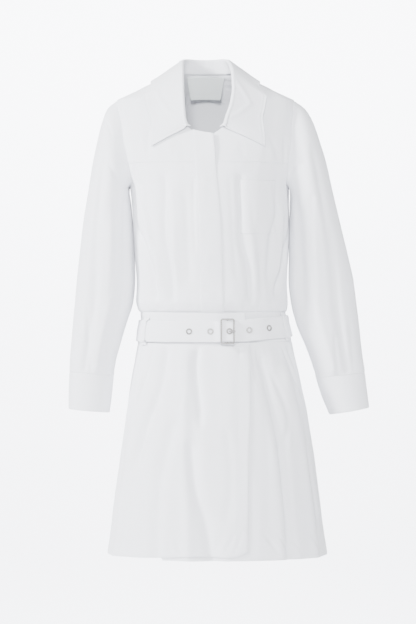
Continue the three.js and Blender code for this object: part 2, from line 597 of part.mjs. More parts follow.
// Skirt: the right front lies over the left one, whose covered part is moved in.
function skirtRight() {
  const rows = [SKIRT_TOP - SEAM, ...SKIRT_ROWS];
  const places = rows.map((z) => [
    ...SKIRT_RIGHT_COLUMNS.map((angle) => [Math.max(angle, -90 + SIDE_GAP), z]),
    [skirtEdge(z), z],
  ]);
  places.push(
    [...SKIRT_RIGHT_COLUMNS, skirtEdge(HEM_LEVEL)].map((angle) => [
      Math.max(angle, -90 + SIDE_GAP),
      hemRight(angle),
    ]),
  );
  return panel(places);
}

const underLift = (angle) => -(CLOTH + UNDERLAP) * (1 - smoothstep(angle, UNDERLAP_END, UNDERLAP_OUT));

function skirtLeft() {
  const rows = [SKIRT_TOP - SEAM, ...SKIRT_ROWS, HEM_LEVEL];
  return panel(
    rows.map((z) =>
      SKIRT_LEFT_COLUMNS.map((angle) => [Math.min(angle, 90 - SIDE_GAP), z, underLift(angle)]),
    ),
  );
}

function skirtBack() {
  const rows = [SKIRT_TOP - SEAM, ...SKIRT_ROWS, HEM_LEVEL];
  return panel(
    rows.map((z) =>
      Array.from({ length: BACK_CELLS + 1 }, (_, j) => [
        lerp(90 + SIDE_GAP, 270 - SIDE_GAP, j / BACK_CELLS),
        z,
      ]),
    ),
  );
}

add("skirt_front_right", skirtRight());
add("skirt_front_left", skirtLeft());
add("skirt_back", skirtBack());

// Waistband: one strip that starts over and ends under itself at the front.
function waistbandStrip() {
  const rows = [WAIST - SEAM, (WAIST + SKIRT_TOP) / 2, SKIRT_TOP];
  const turns = (360 + WAISTBAND_OVER - WAISTBAND_UNDER) / ROUND_STEP;
  return panel(
    rows.map((z) =>
      Array.from({ length: turns + 1 }, (_, j) => {
        const angle = WAISTBAND_OVER - j * ROUND_STEP;
        const lift = (CLOTH + LAY) * smoothstep(angle, -52.5, WAISTBAND_UNDER - ROUND_STEP);
        return [angle, z, lift];
      }),
    ),
  );
}

add("waistband", waistbandStrip());

// The armhole's rim as rows of [angle, level], from the shoulder round by the front.
function armholeRim(side) {
  const front = ARMHOLE_ROWS.map((z) => ({ z, sign: -1 }));
  const back = ARMHOLE_ROWS.slice(1, -1).reverse().map((z) => ({ z, sign: 1 }));
  return [...front, ...back].map(({ z, sign }) => {
    const up = (z - ARMHOLE_MIDDLE) / ARMHOLE_HALF;
    const cosine = Math.sign(up) * Math.abs(clamp(up, -1, 1)) ** (ARMHOLE_POWER / 2);
    const turn = Math.acos(clamp(cosine, -1, 1));
    return { angle: side * (90 + sign * armholeReach(z)), z, turn: sign < 0 ? turn : 2 * Math.PI - turn };
  });
}

// A point of the ring whose outer and inner ends are seen from the front.
function ringPoint(ring, turn) {
  const outer = new THREE.Vector3(ring.outerX, ring.y, ring.outerZ);
  const inner = new THREE.Vector3(ring.innerX, ring.y, ring.innerZ);
  const middle = outer.clone().add(inner).multiplyScalar(0.5);
  middle.addScaledVector(outer.sub(inner), Math.cos(turn) / 2);
  middle.y -= ring.depth * Math.sin(turn);
  return middle;
}

function sleeveFoldLift(turn, share) {
  let lift = 0;
  for (const { turn: middle, from, to, depth, width, drift } of SLEEVE_FOLDS) {
    const end = Math.min(share - from, to - share);
    if (end <= 0) continue;
    const off = THREE.MathUtils.euclideanModulo(turn - middle - drift * share + 180, 360) - 180;
    lift += depth * Math.exp(-2 * (off / width) ** 2) * smoothstep(end, 0, SLEEVE_FOLD_FADE);
  }
  return lift;
}

// Sleeve: rings from the armhole down, pushed in and out by the folds.
function sleeve(rings, side) {
  const rim = armholeRim(side);
  const top = skin(side * 90, ARMHOLE_ROWS[0]);
  const bottom = skin(side * 90, ARMHOLE_ROWS[ARMHOLE_ROWS.length - 1]);
  const ends = { outerX: top.x, outerZ: top.z, innerX: bottom.x, innerZ: bottom.z };
  const first = { ...ends, depth: ARMHOLE_DEPTH, y: ARM_MIDDLE_Y.armhole };
  const middle = ringPoint(first, Math.PI / 2).add(ringPoint(first, -Math.PI / 2)).multiplyScalar(0.5);
  const rimPoints = rim.map(({ angle, z }) => {
    const point = skin(angle, z);
    const inward = middle.clone().sub(point).normalize();
    return point.addScaledVector(inward, SEAM).addScaledVector(skinNormal(angle, z), SEAM);
  });
  const bends = rimPoints.map((point, j) => point.clone().sub(ringPoint(first, rim[j].turn)));
  const last = rings.length - 1;
  const grid = rings.map((ring, i) => {
    const y = lerp(ARM_MIDDLE_Y.armhole, ARM_MIDDLE_Y.cuff, i / last);
    const centre = ringPoint({ ...ring, y, depth: 0 }, Math.PI / 2);
    return rim.map(({ turn }, j) => {
      const point = ringPoint({ ...ring, y }, turn).addScaledVector(bends[j], ring.armhole);
      const out = point.clone().sub(centre).normalize();
      const lift = sleeveFoldLift(THREE.MathUtils.radToDeg(turn), i / last);
      const facingBody = smoothstep(-Math.cos(turn), SLEEVE_CALM.from, SLEEVE_CALM.to);
      return point.addScaledVector(out, Math.min(lift, lift * (1 - facingBody)));
    });
  });
  return wallUnder([rimPoints, ...grid], CLOTH, -side, true);
}

add("sleeve_left", sleeve(SLEEVE_LEFT, 1));
add("sleeve_right", sleeve(SLEEVE_RIGHT, -1));

// Cuff: a band that laps over itself at the outer back, where its button is.
function cuffPoint(rings, i, turn, lift) {
  const ring = { ...rings[i], y: ARM_MIDDLE_Y.cuff };
  const centre = ringPoint({ ...ring, depth: 0 }, Math.PI / 2);
  const point = ringPoint(ring, turn);
  return point.addScaledVector(point.clone().sub(centre).normalize(), lift);
}

function cuff(rings, side) {
  const grid = rings.map((_, i) =>
    Array.from({ length: CUFF_COLUMNS + 1 }, (_, j) => {
      const share = j / CUFF_COLUMNS;
      const turn = rad(CUFF_START + share * (360 + CUFF_OVERLAP));
      const lift = -(CLOTH + LAY) * (1 - smoothstep(share, CUFF_STEP.from, CUFF_STEP.to));
      return cuffPoint(rings, i, turn, lift);
    }),
  );
  return wallUnder(grid, CLOTH, -side);
}

// A group whose +Z points along out, at a place.
function turned(place, out, up = new THREE.Vector3(0, 0, 1)) {
  const holder = new THREE.Group();
  const across = up.clone().cross(out).normalize();
  holder.quaternion.setFromRotationMatrix(
    new THREE.Matrix4().makeBasis(across, out.clone().cross(across), out),
  );
  holder.position.copy(place);
  group.add(holder);
  return holder;
}

function cuffButton(rings) {
  const turn = rad(CUFF_START + CUFF_OVERLAP * CUFF_BUTTON_SHARE);
  const place = cuffPoint(rings, 1, turn, 0);
  const ahead = cuffPoint(rings, 1, turn + 0.1, 0).sub(place);
  const down = cuffPoint(rings, 2, turn, 0).sub(place);
  const out = down.cross(ahead).normalize();
  if (out.y < 0) out.negate();
  const { radius, thick, rim } = BUTTON;
  const profile = [
    [0, 0],
    [radius - rim, 0],
    [radius, rim],
    [radius, thick - rim],
    [radius - rim, thick],
    [radius - 2 * rim, thick],
    [radius - 3 * rim, thick - rim],
    [0, thick - rim],
  ].map(([x, y]) => new THREE.Vector2(x, y));
  const geometry = new THREE.LatheGeometry(profile, 20).rotateX(Math.PI / 2);
  return { geometry, holder: turned(place.addScaledVector(out, SEAM * 2), out) };
}

for (const [name, rings, side] of [["left", CUFF_LEFT, 1], ["right", CUFF_RIGHT, -1]]) {
  add(`cuff_${name}`, cuff(rings, side));
  const { geometry, holder } = cuffButton(rings);
  holder.add(add(`cuff_button_${name}`, geometry, WHITE_CLOTH, 0.35));
}

// Moves a point out until it lies at least gap over the body.
function clearOfBody(point, gap) {
  for (let turn = 0; turn < 4; turn += 1) {
    const x = (point.x - bodyShift(point.z)) / bodyHalf(point.z);
    const y = point.y / (point.y < 0 ? bodyFront(point.z) : bodyBack(point.z));
    const power = SECTION_POWER / 2;
    const side = Math.sign(x) * Math.abs(x) ** power;
    const ahead = -Math.sign(y) * Math.abs(y) ** power;
    const angle = THREE.MathUtils.radToDeg(Math.atan2(side, ahead));
    const normal = skinNormal(angle, point.z);
    const height = point.clone().sub(skin(angle, point.z)).dot(normal);
    if (height >= gap) break;
    point.addScaledVector(normal, gap - height);
  }
  return point;
}

// Collar: one sheet that stands up from the neckline, folds over and lies down on the shoulders.
const collarColumn = Object.fromEntries(
  ["foldLeft", "foldRight", "foldY", "foldZ", "edge", "edgeZ"].map((name) => [
    name,
    smoothColumn(COLLAR, "u", name),
  ]),
);
const collarFront = COLLAR.filter((row) => row.neckZ !== undefined);
const collarBack = COLLAR.filter((row) => row.neckAngle !== undefined);
const neckLevel = smoothColumn([...collarFront, { u: collarBack[0].u, neckZ: BACK_NECK }], "u", "neckZ");
const neckAngle = smoothColumn(collarBack, "u", "neckAngle");

function collarSection(u, side) {
  const z = neckLevel(u);
  const backNeck = u >= collarBack[0].u;
  const angle = side * (backNeck ? neckAngle(u) : Math.abs(frontAngle(side * necklineHalf(z), z)));
  const foot = backNeck ? skin(angle, BACK_NECK) : skin(angle, z);
  const foldX = side > 0 ? collarColumn.foldLeft(u) : collarColumn.foldRight(u);
  const fold = new THREE.Vector3(foldX, collarColumn.foldY(u), collarColumn.foldZ(u));
  const edge = onBody(side * collarColumn.edge(u), collarColumn.edgeZ(u), COLLAR_CLEAR);
  const rise = fold.clone().sub(foot).normalize();
  const fall = edge.clone().sub(fold);
  const out = fall.clone().addScaledVector(rise, -fall.dot(rise)).normalize();
  foot.addScaledVector(out, -COLLAR_WALL - COLLAR_FOOT).addScaledVector(rise, COLLAR_FOOT);
  const centre = fold.clone().addScaledVector(out, COLLAR_ROLL).addScaledVector(rise, -COLLAR_ROLL);
  const roll = [180, 135, 90, 45, 0].map((turn) =>
    centre
      .clone()
      .addScaledVector(out, COLLAR_ROLL * Math.cos(rad(turn)))
      .addScaledVector(rise, COLLAR_ROLL * Math.sin(rad(turn))),
  );
  const stand = [foot, foot.clone().lerp(roll[0], 0.5)];
  const leafStart = roll[roll.length - 1];
  const leaf = [0.3, 0.65, 1].map((part) => clearOfBody(leafStart.clone().lerp(edge, part), COLLAR_CLEAR));
  return [...stand, ...roll, ...leaf];
}

const lastRow = COLLAR[COLLAR.length - 1].u;
const [leftHalf, rightHalf] = [1, -1].map((side) =>
  Array.from({ length: COLLAR_STEPS }, (_, i) => collarSection((i / COLLAR_STEPS) * lastRow, side)),
);
const collarGrid = [...leftHalf, collarSection(lastRow, 1), ...rightHalf.reverse()];
add("collar", wallUnder(collarGrid, COLLAR_WALL, -1));

// Label: hangs from the back neck, inside.
function labelSheet() {
  const { halfTop, halfBottom, top, bottom, hang, wall, arch } = LABEL;
  const grid = Array.from({ length: LABEL_CELLS.down + 1 }, (_, i) =>
    Array.from({ length: LABEL_CELLS.across + 1 }, (_, j) => {
      const down = i / LABEL_CELLS.down;
      const across = (2 * j) / LABEL_CELLS.across - 1;
      const x = across * lerp(halfTop, halfBottom, down);
      const seam = onBody(backAngle(across * halfTop, top), top, -CLOTH - SEAM - wall);
      const level = lerp(seam.z, bottom, down) + arch * down * (1 - across * across);
      return new THREE.Vector3(x, seam.y + hang * down, level);
    }),
  );
  return wallUnder(grid, wall, 1);
}

add("neck_label", labelSheet(), LABEL_TAPE);

// Belt. place is the way along the strap as an angle that falls from its start to its tip.
const beltLevel = smoothColumn(BELT_LEVEL, "angle", "z");
const fullTurn = (angle) => THREE.MathUtils.euclideanModulo(angle + 180, 360) - 180;
const buckleOut = skinNormal(BUCKLE.angle, beltLevel(BUCKLE.angle)).setZ(0).normalize();
const buckleAcross = new THREE.Vector3(-buckleOut.y, buckleOut.x, 0);
const buckleMiddle = onBody(BUCKLE.angle, beltLevel(BUCKLE.angle));

function strapLift(place) {
  const past = place + 360; // angle on the last stretch, where the strap goes over itself
  const climb = 1 - smoothstep(past, BELT_RISE.to, BELT_RISE.from);
  const way = skin(past, beltLevel(fullTurn(past))).sub(buckleMiddle).dot(buckleAcross);
  const raised = past < 90 ? 1 - smoothstep(Math.abs(way), STRAP_RAISED.flat, STRAP_RAISED.end) : 0;
  return lerp(BELT_UNDER, BELT_OVER, climb) + STRAP_RAISE * raised;
}

function strapPoint(place, down, lift = 0) {
  const angle = fullTurn(place);
  const z = beltLevel(angle) - down;
  return onBody(angle, z, strapLift(place) + lift);
}

function strapPlaces() {
  const whole = (360 + BELT_START - BELT_TIP) / ROUND_STEP;
  const even = Array.from({ length: Math.floor(whole) + 1 }, (_, j) => BELT_START - j * ROUND_STEP);
  const stops = [...BUCKLE_STOPS, ...TIP_STOPS].map((angle) => angle - 360);
  const near = (angle) => stops.some((stop) => Math.abs(stop - angle) < STOP_CLEAR);
  return [...even.filter((angle) => !near(angle)), ...stops].sort((p, q) => q - p);
}

function strapWall() {
  const places = strapPlaces();
  const tip = strapPoint(BELT_TIP - 360, 0);
  const height = (place) => {
    const left = place < -360 ? strapPoint(place, 0).distanceTo(tip) : BELT_TIP_ROUND;
    const bend = clamp(1 - left / BELT_TIP_ROUND, 0, 1);
    return BELT_HALF * lerp(TIP_BLUNT, 1, Math.sqrt(1 - bend * bend));
  };
  const face = (lift) =>
    [1, 0, -1].map((row) => places.map((place) => strapPoint(place, -row * height(place), lift)));
  return wallBetween(face(0), face(-BELT_WALL));
}

const wasm = await Module();
wasm.setup();

function solidOf(geometry) {
  const bare = geometry.clone();
  bare.deleteAttribute("normal");
  bare.deleteAttribute("uv");
  const merged = mergeVertices(bare, 1e-4);
  return new wasm.Manifold(
    new wasm.Mesh({
      numProp: 3,
      vertProperties: Float32Array.from(merged.attributes.position.array),
      triVerts: Uint32Array.from(merged.index.array),
    }),
  );
}

function geometryOf(solid) {
  const { vertProperties, triVerts } = solid.getMesh();
  const geometry = new THREE.BufferGeometry();
  geometry.setAttribute("position", new THREE.BufferAttribute(vertProperties, 3));
  geometry.setIndex(new THREE.BufferAttribute(triVerts, 1));
  geometry.computeVertexNormals();
  return geometry;
}

// Place and outward direction on the strap's outer face, where the free end lies on top.
function strapSeat(angle) {
  const place = strapPoint(angle - 360, 0);
  const across = strapPoint(angle - 359, 0).sub(strapPoint(angle - 361, 0));
  const upward = strapPoint(angle - 360, -EYELET.hole).sub(strapPoint(angle - 360, EYELET.hole));
  return { place, out: across.cross(upward).normalize() };
}

function holeAt(angle) {
  const { place, out } = strapSeat(angle);
  const above = BELT_WALL;
  const depth = above + BELT_WALL + LAY / 2;
  const hole = new THREE.CylinderGeometry(EYELET.hole, EYELET.hole, depth, 14);
  hole.translate(0, above - depth / 2, 0);
  hole.applyQuaternion(new THREE.Quaternion().setFromUnitVectors(new THREE.Vector3(0, 1, 0), out));
  hole.translate(place.x, place.y, place.z);
  return solidOf(hole);
}

let strap = solidOf(strapWall());
for (const angle of EYELETS) strap = strap.subtract(holeAt(angle));
add("belt_strap", geometryOf(strap));

function eyeletRing() {
  const { outer, inner, barrel, lip, bevel, clear } = EYELET;
  const bottom = -BELT_WALL;
  const profile = [
    [inner, bottom],
    [barrel, bottom],
    [barrel, clear],
    [outer, clear],
    [outer - bevel, clear + lip],
    [inner + bevel, clear + lip],
    [inner, clear],
    [inner, bottom],
  ].map(([x, y]) => new THREE.Vector2(x, y));
  return new THREE.LatheGeometry(profile, 14).rotateX(Math.PI / 2);
}

EYELETS.forEach((angle, i) => {
  const { place, out } = strapSeat(angle);
  turned(place, out).add(add(`eyelet_${i + 1}`, eyeletRing(), METAL, 0.3, 1));
});

// Buckle: a frame over the strap, with a middle bar under the strap on two short posts.
const rodLevel = -BUCKLE_CLEAR - BELT_WALL - BAR_RADIUS - SEAM;

function roundedOutline(width, height, corner) {
  const [x, y] = [width / 2, height / 2];
  const path = new THREE.Shape();
  path.moveTo(-x + corner, -y);
  path.lineTo(x - corner, -y);
  path.absarc(x - corner, -y + corner, corner, -Math.PI / 2, 0);
  path.lineTo(x, y - corner);
  path.absarc(x - corner, y - corner, corner, 0, Math.PI / 2);
  path.lineTo(-x + corner, y);
  path.absarc(-x + corner, y - corner, corner, Math.PI / 2, Math.PI);
  path.lineTo(-x, -y + corner);
  path.absarc(-x + corner, -y + corner, corner, Math.PI, Math.PI * 1.5);
  return path;
}

function buckleFrame() {
  const { width, height, bar, thick, corner, bend } = BUCKLE;
  const outline = roundedOutline(width - 2 * bend, height - 2 * bend, corner - bend);
  const hole = roundedOutline(width - 2 * bar + 2 * bend, height - 2 * bar + 2 * bend, corner - bar + bend);
  outline.holes.push(new THREE.Path(hole.getPoints(4)));
  const options = { depth: thick - 2 * bend, bevelSize: bend, bevelThickness: bend, bevelSegments: 2 };
  const frame = new THREE.ExtrudeGeometry(outline, { ...options, curveSegments: 4 }).translate(0, 0, bend);
  const rod = new THREE.CylinderGeometry(BAR_RADIUS, BAR_RADIUS, height - bar, 10).translate(0, 0, rodLevel);
  let solid = solidOf(frame).add(solidOf(rod));
  for (const end of [-1, 1]) {
    const post = new THREE.CylinderGeometry(BAR_RADIUS, BAR_RADIUS, bend - rodLevel + 1, 10);
    post.rotateX(Math.PI / 2).translate(0, (end * (height - bar)) / 2, (bend + 1 + rodLevel) / 2);
    solid = solid.add(solidOf(post));
  }
  return geometryOf(solid);
}

const buckleSeat = strapSeat(BUCKLE.angle);
const buckleHolder = turned(buckleSeat.place.addScaledVector(buckleSeat.out, BUCKLE_CLEAR), buckleSeat.out);
buckleHolder.add(add("buckle_frame", buckleFrame(), METAL, 0.25, 1));

// Prong: from the middle bar up through the eyelet, and out over the frame's left bar.
function buckleProng() {
  const { width, bar, thick } = BUCKLE;
  const over = thick + PRONG_RADIUS + SEAM;
  const { hole, rise, past } = PRONG;
  const route = new THREE.CatmullRomCurve3(
    [
      [BAR_RADIUS + SEAM + PRONG_RADIUS, rodLevel - BAR_RADIUS],
      [hole, rodLevel + 2 * BAR_RADIUS],
      [hole + PRONG_RADIUS, BAR_RADIUS],
      [width / 2 - bar - rise, over],
      [width / 2 + past, over],
    ].map(([x, z]) => new THREE.Vector3(x, 0, z)),
  );
  const round = new THREE.Shape();
  round.absarc(0, 0, PRONG_RADIUS, 0, Math.PI * 2);
  return new THREE.ExtrudeGeometry(round, { extrudePath: route, steps: 14, curveSegments: 4 });
}

buckleHolder.add(add("buckle_prong", buckleProng(), METAL, 0.25, 1));

// Belt loops: sewn down above and below the belt, and lifted over it.
function loopStrip({ angle, half, over }) {
  const middle = beltLevel(angle);
  const top = BELT_HALF + LOOP_REACH;
  const low = LOOP_WALL + 3 * LAY;
  const high = over + LAY + LOOP_WALL;
  const bend = LOOP_BEND.map(({ past, under }) => {
    return { up: BELT_HALF + past, lift: Math.max(high - under, low) };
  });
  const upper = [{ up: top, lift: low }, ...bend];
  const lower = upper.map(({ up, lift }) => ({ up: -up, lift })).reverse();
  const rows = [...upper, { up: 0, lift: high }, ...lower];
  return panel(
    rows.map(({ up, lift }) => [-1, 0, 1].map((across) => [angle + across * half, middle + up, lift])),
    LOOP_WALL,
  );
}

for (const loop of LOOPS) add(loop.name, loopStrip(loop));

export default group;
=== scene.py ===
"""Looks of a long-sleeved shirt dress with its belt: finer cloth, seams, stitches and fastenings.

Lengths in the tables are millimetres, as on the solids, and become metres when a mesh is made. A place on
the body is an angle and a level: 0 degrees is the middle of the front, 90 the wearer's left side, 180 the
middle of the back. Surfaces follow the solids, with closer steps, sharper creases and thinner edges.
"""

import math

import bpy
import numpy as np
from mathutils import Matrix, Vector


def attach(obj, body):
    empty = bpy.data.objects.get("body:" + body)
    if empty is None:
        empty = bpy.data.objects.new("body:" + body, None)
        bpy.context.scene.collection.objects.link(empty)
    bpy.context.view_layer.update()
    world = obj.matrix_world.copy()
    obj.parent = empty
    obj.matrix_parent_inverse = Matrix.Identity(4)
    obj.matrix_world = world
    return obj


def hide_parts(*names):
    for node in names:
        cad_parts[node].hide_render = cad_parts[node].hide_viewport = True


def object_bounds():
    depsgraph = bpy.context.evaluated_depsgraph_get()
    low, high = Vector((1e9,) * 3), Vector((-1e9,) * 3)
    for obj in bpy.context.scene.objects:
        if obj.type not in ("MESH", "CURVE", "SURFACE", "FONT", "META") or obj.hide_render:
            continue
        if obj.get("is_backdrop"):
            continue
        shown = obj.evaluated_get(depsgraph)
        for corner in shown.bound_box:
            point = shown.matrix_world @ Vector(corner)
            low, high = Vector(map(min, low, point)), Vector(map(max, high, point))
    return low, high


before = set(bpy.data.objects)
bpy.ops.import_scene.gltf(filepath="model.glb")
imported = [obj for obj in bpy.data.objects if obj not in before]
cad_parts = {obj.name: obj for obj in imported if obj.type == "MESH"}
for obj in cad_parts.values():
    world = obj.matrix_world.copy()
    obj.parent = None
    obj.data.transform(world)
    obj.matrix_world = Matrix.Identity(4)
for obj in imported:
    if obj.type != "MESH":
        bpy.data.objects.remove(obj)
cad_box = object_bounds()

MM = 0.001
CLOTH = 1.0  # wall of one layer as it shows at an edge
SEAM = 0.3
LAY = 0.6
SOLID_CLOTH = 1.3  # wall of one layer on the solids, over which the next layer lies
SECTION_POWER = 2.25

# Levels of the body: level, half width, depth before and behind the sides, sideways shift.
BODY_LEVELS = (
    (16, 47, 43, 46, 0), (4, 61, 46, 50, 0), (-4, 78.7, 48, 52, 0), (-10, 92, 50, 54, 0),
    (-19, 112, 53, 58, 0), (-31, 135.5, 57, 64, 0), (-42, 159, 61, 70, 0), (-48, 170, 63, 73, 0),
    (-75, 177, 71, 84, 1), (-116, 177, 84, 97, 3), (-150, 171, 95, 103, 5), (-176, 164, 102, 106, 6),
    (-200, 156, 107, 107, 7), (-215, 152.5, 109, 107, 8), (-245, 151, 111.5, 105.5, 9.6),
    (-275, 150.5, 112, 103, 11), (-340, 147.5, 107, 97, 12), (-400, 144, 100, 93, 12.5),
    (-432, 145.5, 99, 94, 12.5), (-448, 143, 94, 91, 13.5), (-455, 139.5, 89, 88, 14.5),
    (-470, 140, 88, 87, 16), (-488, 143.5, 88.5, 88, 16.5), (-507, 147, 90, 91, 18),
    (-526, 150.5, 94, 96, 18.5), (-564, 158.5, 101, 107, 19.5), (-603, 165.5, 108, 118, 20.5),
    (-641, 172.3, 114, 126, 22), (-676, 178, 118, 131, 22), (-722, 185, 123, 136, 22),
    (-768, 191, 127, 140, 22), (-814, 197.5, 131.5, 144, 22.3), (-860, 203, 135, 147.5, 22.5),
    (-915, 211, 140, 152, 22.7), (-960, 217, 144, 156, 23),
)

# Folds that the solids have too: path as (angle, level) from top to bottom, depth, width.
FOLDS = (
    (((-73, -190), (-74, -274), (-60, -326), (-50, -383), (-44, -445)), -6, 13),
    (((-63, -205), (-54, -264), (-44, -340), (-37, -425)), 4, 12),
    (((-31, -180), (-35, -303), (-30, -378), (-29, -450)), -6, 12),
    (((-25, -200), (-25, -420)), 3, 9),
    (((-16, -215), (-15, -410)), -3.5, 10),
    (((20, -180), (19.5, -304), (27, -389), (28, -450)), -5, 11),
    (((27, -290), (33, -420)), 3, 10),
    (((49, -225), (55, -257), (48, -302), (44, -410)), -4.5, 12),
    (((60, -240), (58, -400)), 4, 12),
    (((72, -187), (85, -261), (69, -339), (53, -440)), -5.5, 14),
    (((112, -230), (125, -320), (132, -446)), -6, 16),
    (((128, -190), (150, -300), (156, -450)), -5, 16),
    (((143, -250), (146, -440)), 4, 15),
    (((178, -260), (174, -448)), -4.5, 17),
    (((232, -200), (212, -310), (203, -450)), -5, 16),
    (((222, -300), (217, -450)), 4, 15),
    (((248, -235), (238, -330), (230, -446)), -6, 16),
    (((-10, -505), (-12, -552), (-10, -608), (-8, -670)), -4.5, 10),
    (((-15, -680), (-11, -780), (-5, -843), (-1, -950)), -6, 15),
    (((-20, -505), (-17, -701), (-13.5, -825), (-12, -950)), 4.5, 12),
    (((-36, -505), (-37, -577), (-48, -666), (-55, -760)), -6, 16),
    (((-24, -640), (-32, -782), (-30, -950)), -5, 17),
    (((-62, -560), (-66, -950)), 5, 22),
    (((31, -505), (36, -627), (40, -750), (38, -950)), -6, 17),
    (((52, -540), (58, -700), (60, -950)), 6, 22),
    (((64, -505), (76, -560), (82, -640)), -4.5, 14),
    (((112, -505), (118, -700), (120, -950)), -7, 24),
    (((140, -520), (142, -950)), 6, 24),
    (((160, -505), (162, -720), (160, -950)), -6, 20),
    (((196, -510), (194, -950)), -6, 22),
    (((214, -530), (218, -950)), 6, 22),
    (((238, -505), (240, -720), (236, -950)), -7, 24),
)
FOLD_FADE = 32
# Sharper creases, which the solids leave out: path, depth, width. The first ones run inside larger folds.
CREASES = (
    (((-73, -195), (-74, -274), (-60, -326), (-50, -383), (-44, -440)), -3.2, 5),
    (((-31, -190), (-35, -303), (-30, -378), (-29, -440)), -2.9, 4.5),
    (((20, -190), (19.5, -304), (27, -389), (28, -440)), -2.6, 4.5),
    (((72, -190), (85, -261), (69, -339), (53, -432)), -3.5, 5.5),
    (((-10, -510), (-12, -552), (-10, -608), (-8, -680)), -3.5, 5),
    (((-15, -690), (-11, -780), (-5, -843), (-1, -950)), -2.6, 6),
    (((-37, -520), (-38, -577), (-48, -666), (-54, -740)), -2.9, 7),
    (((31, -515), (36, -627), (40, -750), (38, -930)), -2.6, 7),
    (((-54, -158), (-61.6, -205), (-60.3, -243), (-52.3, -282), (-50.3, -344)), -3.8, 7),
    (((-50.8, -174), (-52.9, -244), (-45.2, -336)), 2.6, 6),
    (((-8.9, -195), (-10.6, -279), (-10.2, -350)), -2.2, 4.5),
    (((-34.4, -100), (-41.6, -167)), -2.4, 8),
    (((-20, -118), (-23, -168)), 1.6, 8),
    (((18, -130), (20.3, -170)), -1.8, 7),
    (((39.3, -112), (50.7, -172)), -3.0, 7),
    (((53, -112), (56, -146), (60, -186)), -4.2, 5.5),
    (((12, -190), (13, -300), (16, -400)), -1.6, 5),
    (((36, -320), (38, -440)), -1.9, 6),
    (((16.2, -508), (14.3, -548)), -2.7, 4),
    (((26.5, -508), (24.8, -590)), -2.4, 4.5),
    (((34, -508), (34.5, -575)), 2.1, 6),
    (((54.3, -508), (62, -546), (70, -600)), -3.2, 6),
    (((38.8, -560), (47.6, -654), (39.9, -727), (39.9, -846)), -2.6, 8),
    (((-20, -512), (-19, -580), (-21, -640)), -1.6, 5),
    (((-50, -508), (-53, -570), (-60, -640)), -2.2, 7),
    (((-70, -512), (-74, -600)), -2.1, 7),
    (((4, -660), (6, -760), (3, -860)), -1.8, 8),
    (((66, -700), (70, -860)), -2.2, 10),
    (((-75, -700), (-72, -900)), -2.2, 10),
    (((104, -250), (118, -330), (124, -436)), -2.9, 7),
    (((135, -110), (142, -190), (150, -240)), -2.1, 9),
    (((226, -110), (220, -190), (212, -260)), -2.2, 9),
    (((168, -130), (170, -250), (166, -330)), -1.6, 9),
    (((190, -160), (192, -290), (188, -430)), -2.1, 8),
    (((160, -330), (162, -440)), -1.9, 7),
    (((240, -300), (236, -440)), -2.4, 7),
    (((128, -508), (132, -590), (130, -680)), -2.7, 7),
    (((150, -508), (149, -566)), -2.4, 5),
    (((176, -508), (178, -600), (182, -760)), -2.6, 8),
    (((205, -508), (206, -580)), -2.2, 6),
    (((224, -508), (228, -620), (226, -760)), -2.7, 8),
    (((250, -508), (254, -600)), -2.1, 7),
)
CREASE_FADE = 24
# Short slanted creases that the hem's stitches draw into its band: angle, level, slant, depth, width.
HEM_CREASES = (
    (27, -884, -0.2, -2.1, 4), (35.5, -886, -0.24, -2.4, 4), (43.5, -887, -0.24, -1.9, 4.5),
    (-23, -888, -0.06, -1.6, 3.5), (-18, -890, -0.1, -1.9, 3.5), (0.5, -884, 0.1, -1.8, 4),
    (4.5, -886, 0.12, -2.1, 3.5), (8.6, -884, 0.1, -1.4, 3.5), (-40, -890, -0.12, -1.4, 4),
    (-58, -889, 0.1, -1.6, 5), (60, -889, -0.2, -1.8, 5), (75, -891, -0.15, -1.4, 5),
    (104, -889, 0.18, -1.9, 5), (121, -890, -0.15, -1.6, 4.5), (139, -888, 0.1, -2.1, 5),
    (158, -890, 0.16, -1.4, 4), (171, -889, -0.12, -1.9, 4.5), (197, -889, 0.14, -1.8, 5),
    (214, -890, -0.1, -1.4, 4), (229, -888, 0.15, -2.1, 5), (247, -890, 0.1, -1.6, 5),
)
HEM_CREASE_REACH = 17  # half the height of a hem crease
# Puckers where the bodice is gathered to the waistband: angle, width, depth.
WAIST_PUCKERS = (
    (-62, 6, -1.8), (-41, 8, -2.6), (-27, 6, -1.8), (-13, 4, -1.0), (14, 5, -1.2), (23, 6, -2.0),
    (36, 7, -2.3), (50, 5, -1.2), (66, 7, -1.8), (98, 6, -1.4), (112, 7, -1.9), (127, 6, -1.3),
    (143, 8, -2.0), (158, 5, -1.2), (171, 7, -1.6), (184, 5, -1.1), (197, 8, -1.9), (214, 6, -1.5),
    (228, 7, -2.0), (243, 5, -1.2), (256, 7, -1.7),
)
PUCKER_LEVELS = (-452, -412)  # they are deepest at the seam and fade upward
CALM = (-449, -508, 16)  # no fold crosses the waistband: its top, its bottom, and how fast folds return

WAIST = -454
SKIRT_TOP = -508
YOKE = -172
BACK_NECK = 7
SIDE_GAP = 0.08

ARMHOLE_MIDDLE = -131.5
ARMHOLE_HALF = 83.5
ARMHOLE_REACH = 26
ARMHOLE_POWER = 2.5
ARMHOLE_DEPTH = 42
ARMHOLE_TOP = ARMHOLE_MIDDLE + ARMHOLE_HALF
ARMHOLE_BOTTOM = ARMHOLE_MIDDLE - ARMHOLE_HALF

NECKLINE = (
    (-107, 30), (-100, 37.5), (-88, 45), (-70, 52), (-48, 57.5), (-28, 60.5), (-12, 61), (-2, 60), (4, 58.5),
)
NECK_POINT = (2.3, -119)
NECK_CORNER = {"left": -124, "right": -116}

PLACKET_INNER = -6.8
PLACKET_EDGE = ((-119, 2.3), (-207, 3.9), (-337, 5.7), (-454, 6.6))
PLACKET_GAPE = (4.5, -190, -135)
PLACKET_SLOPE = 9
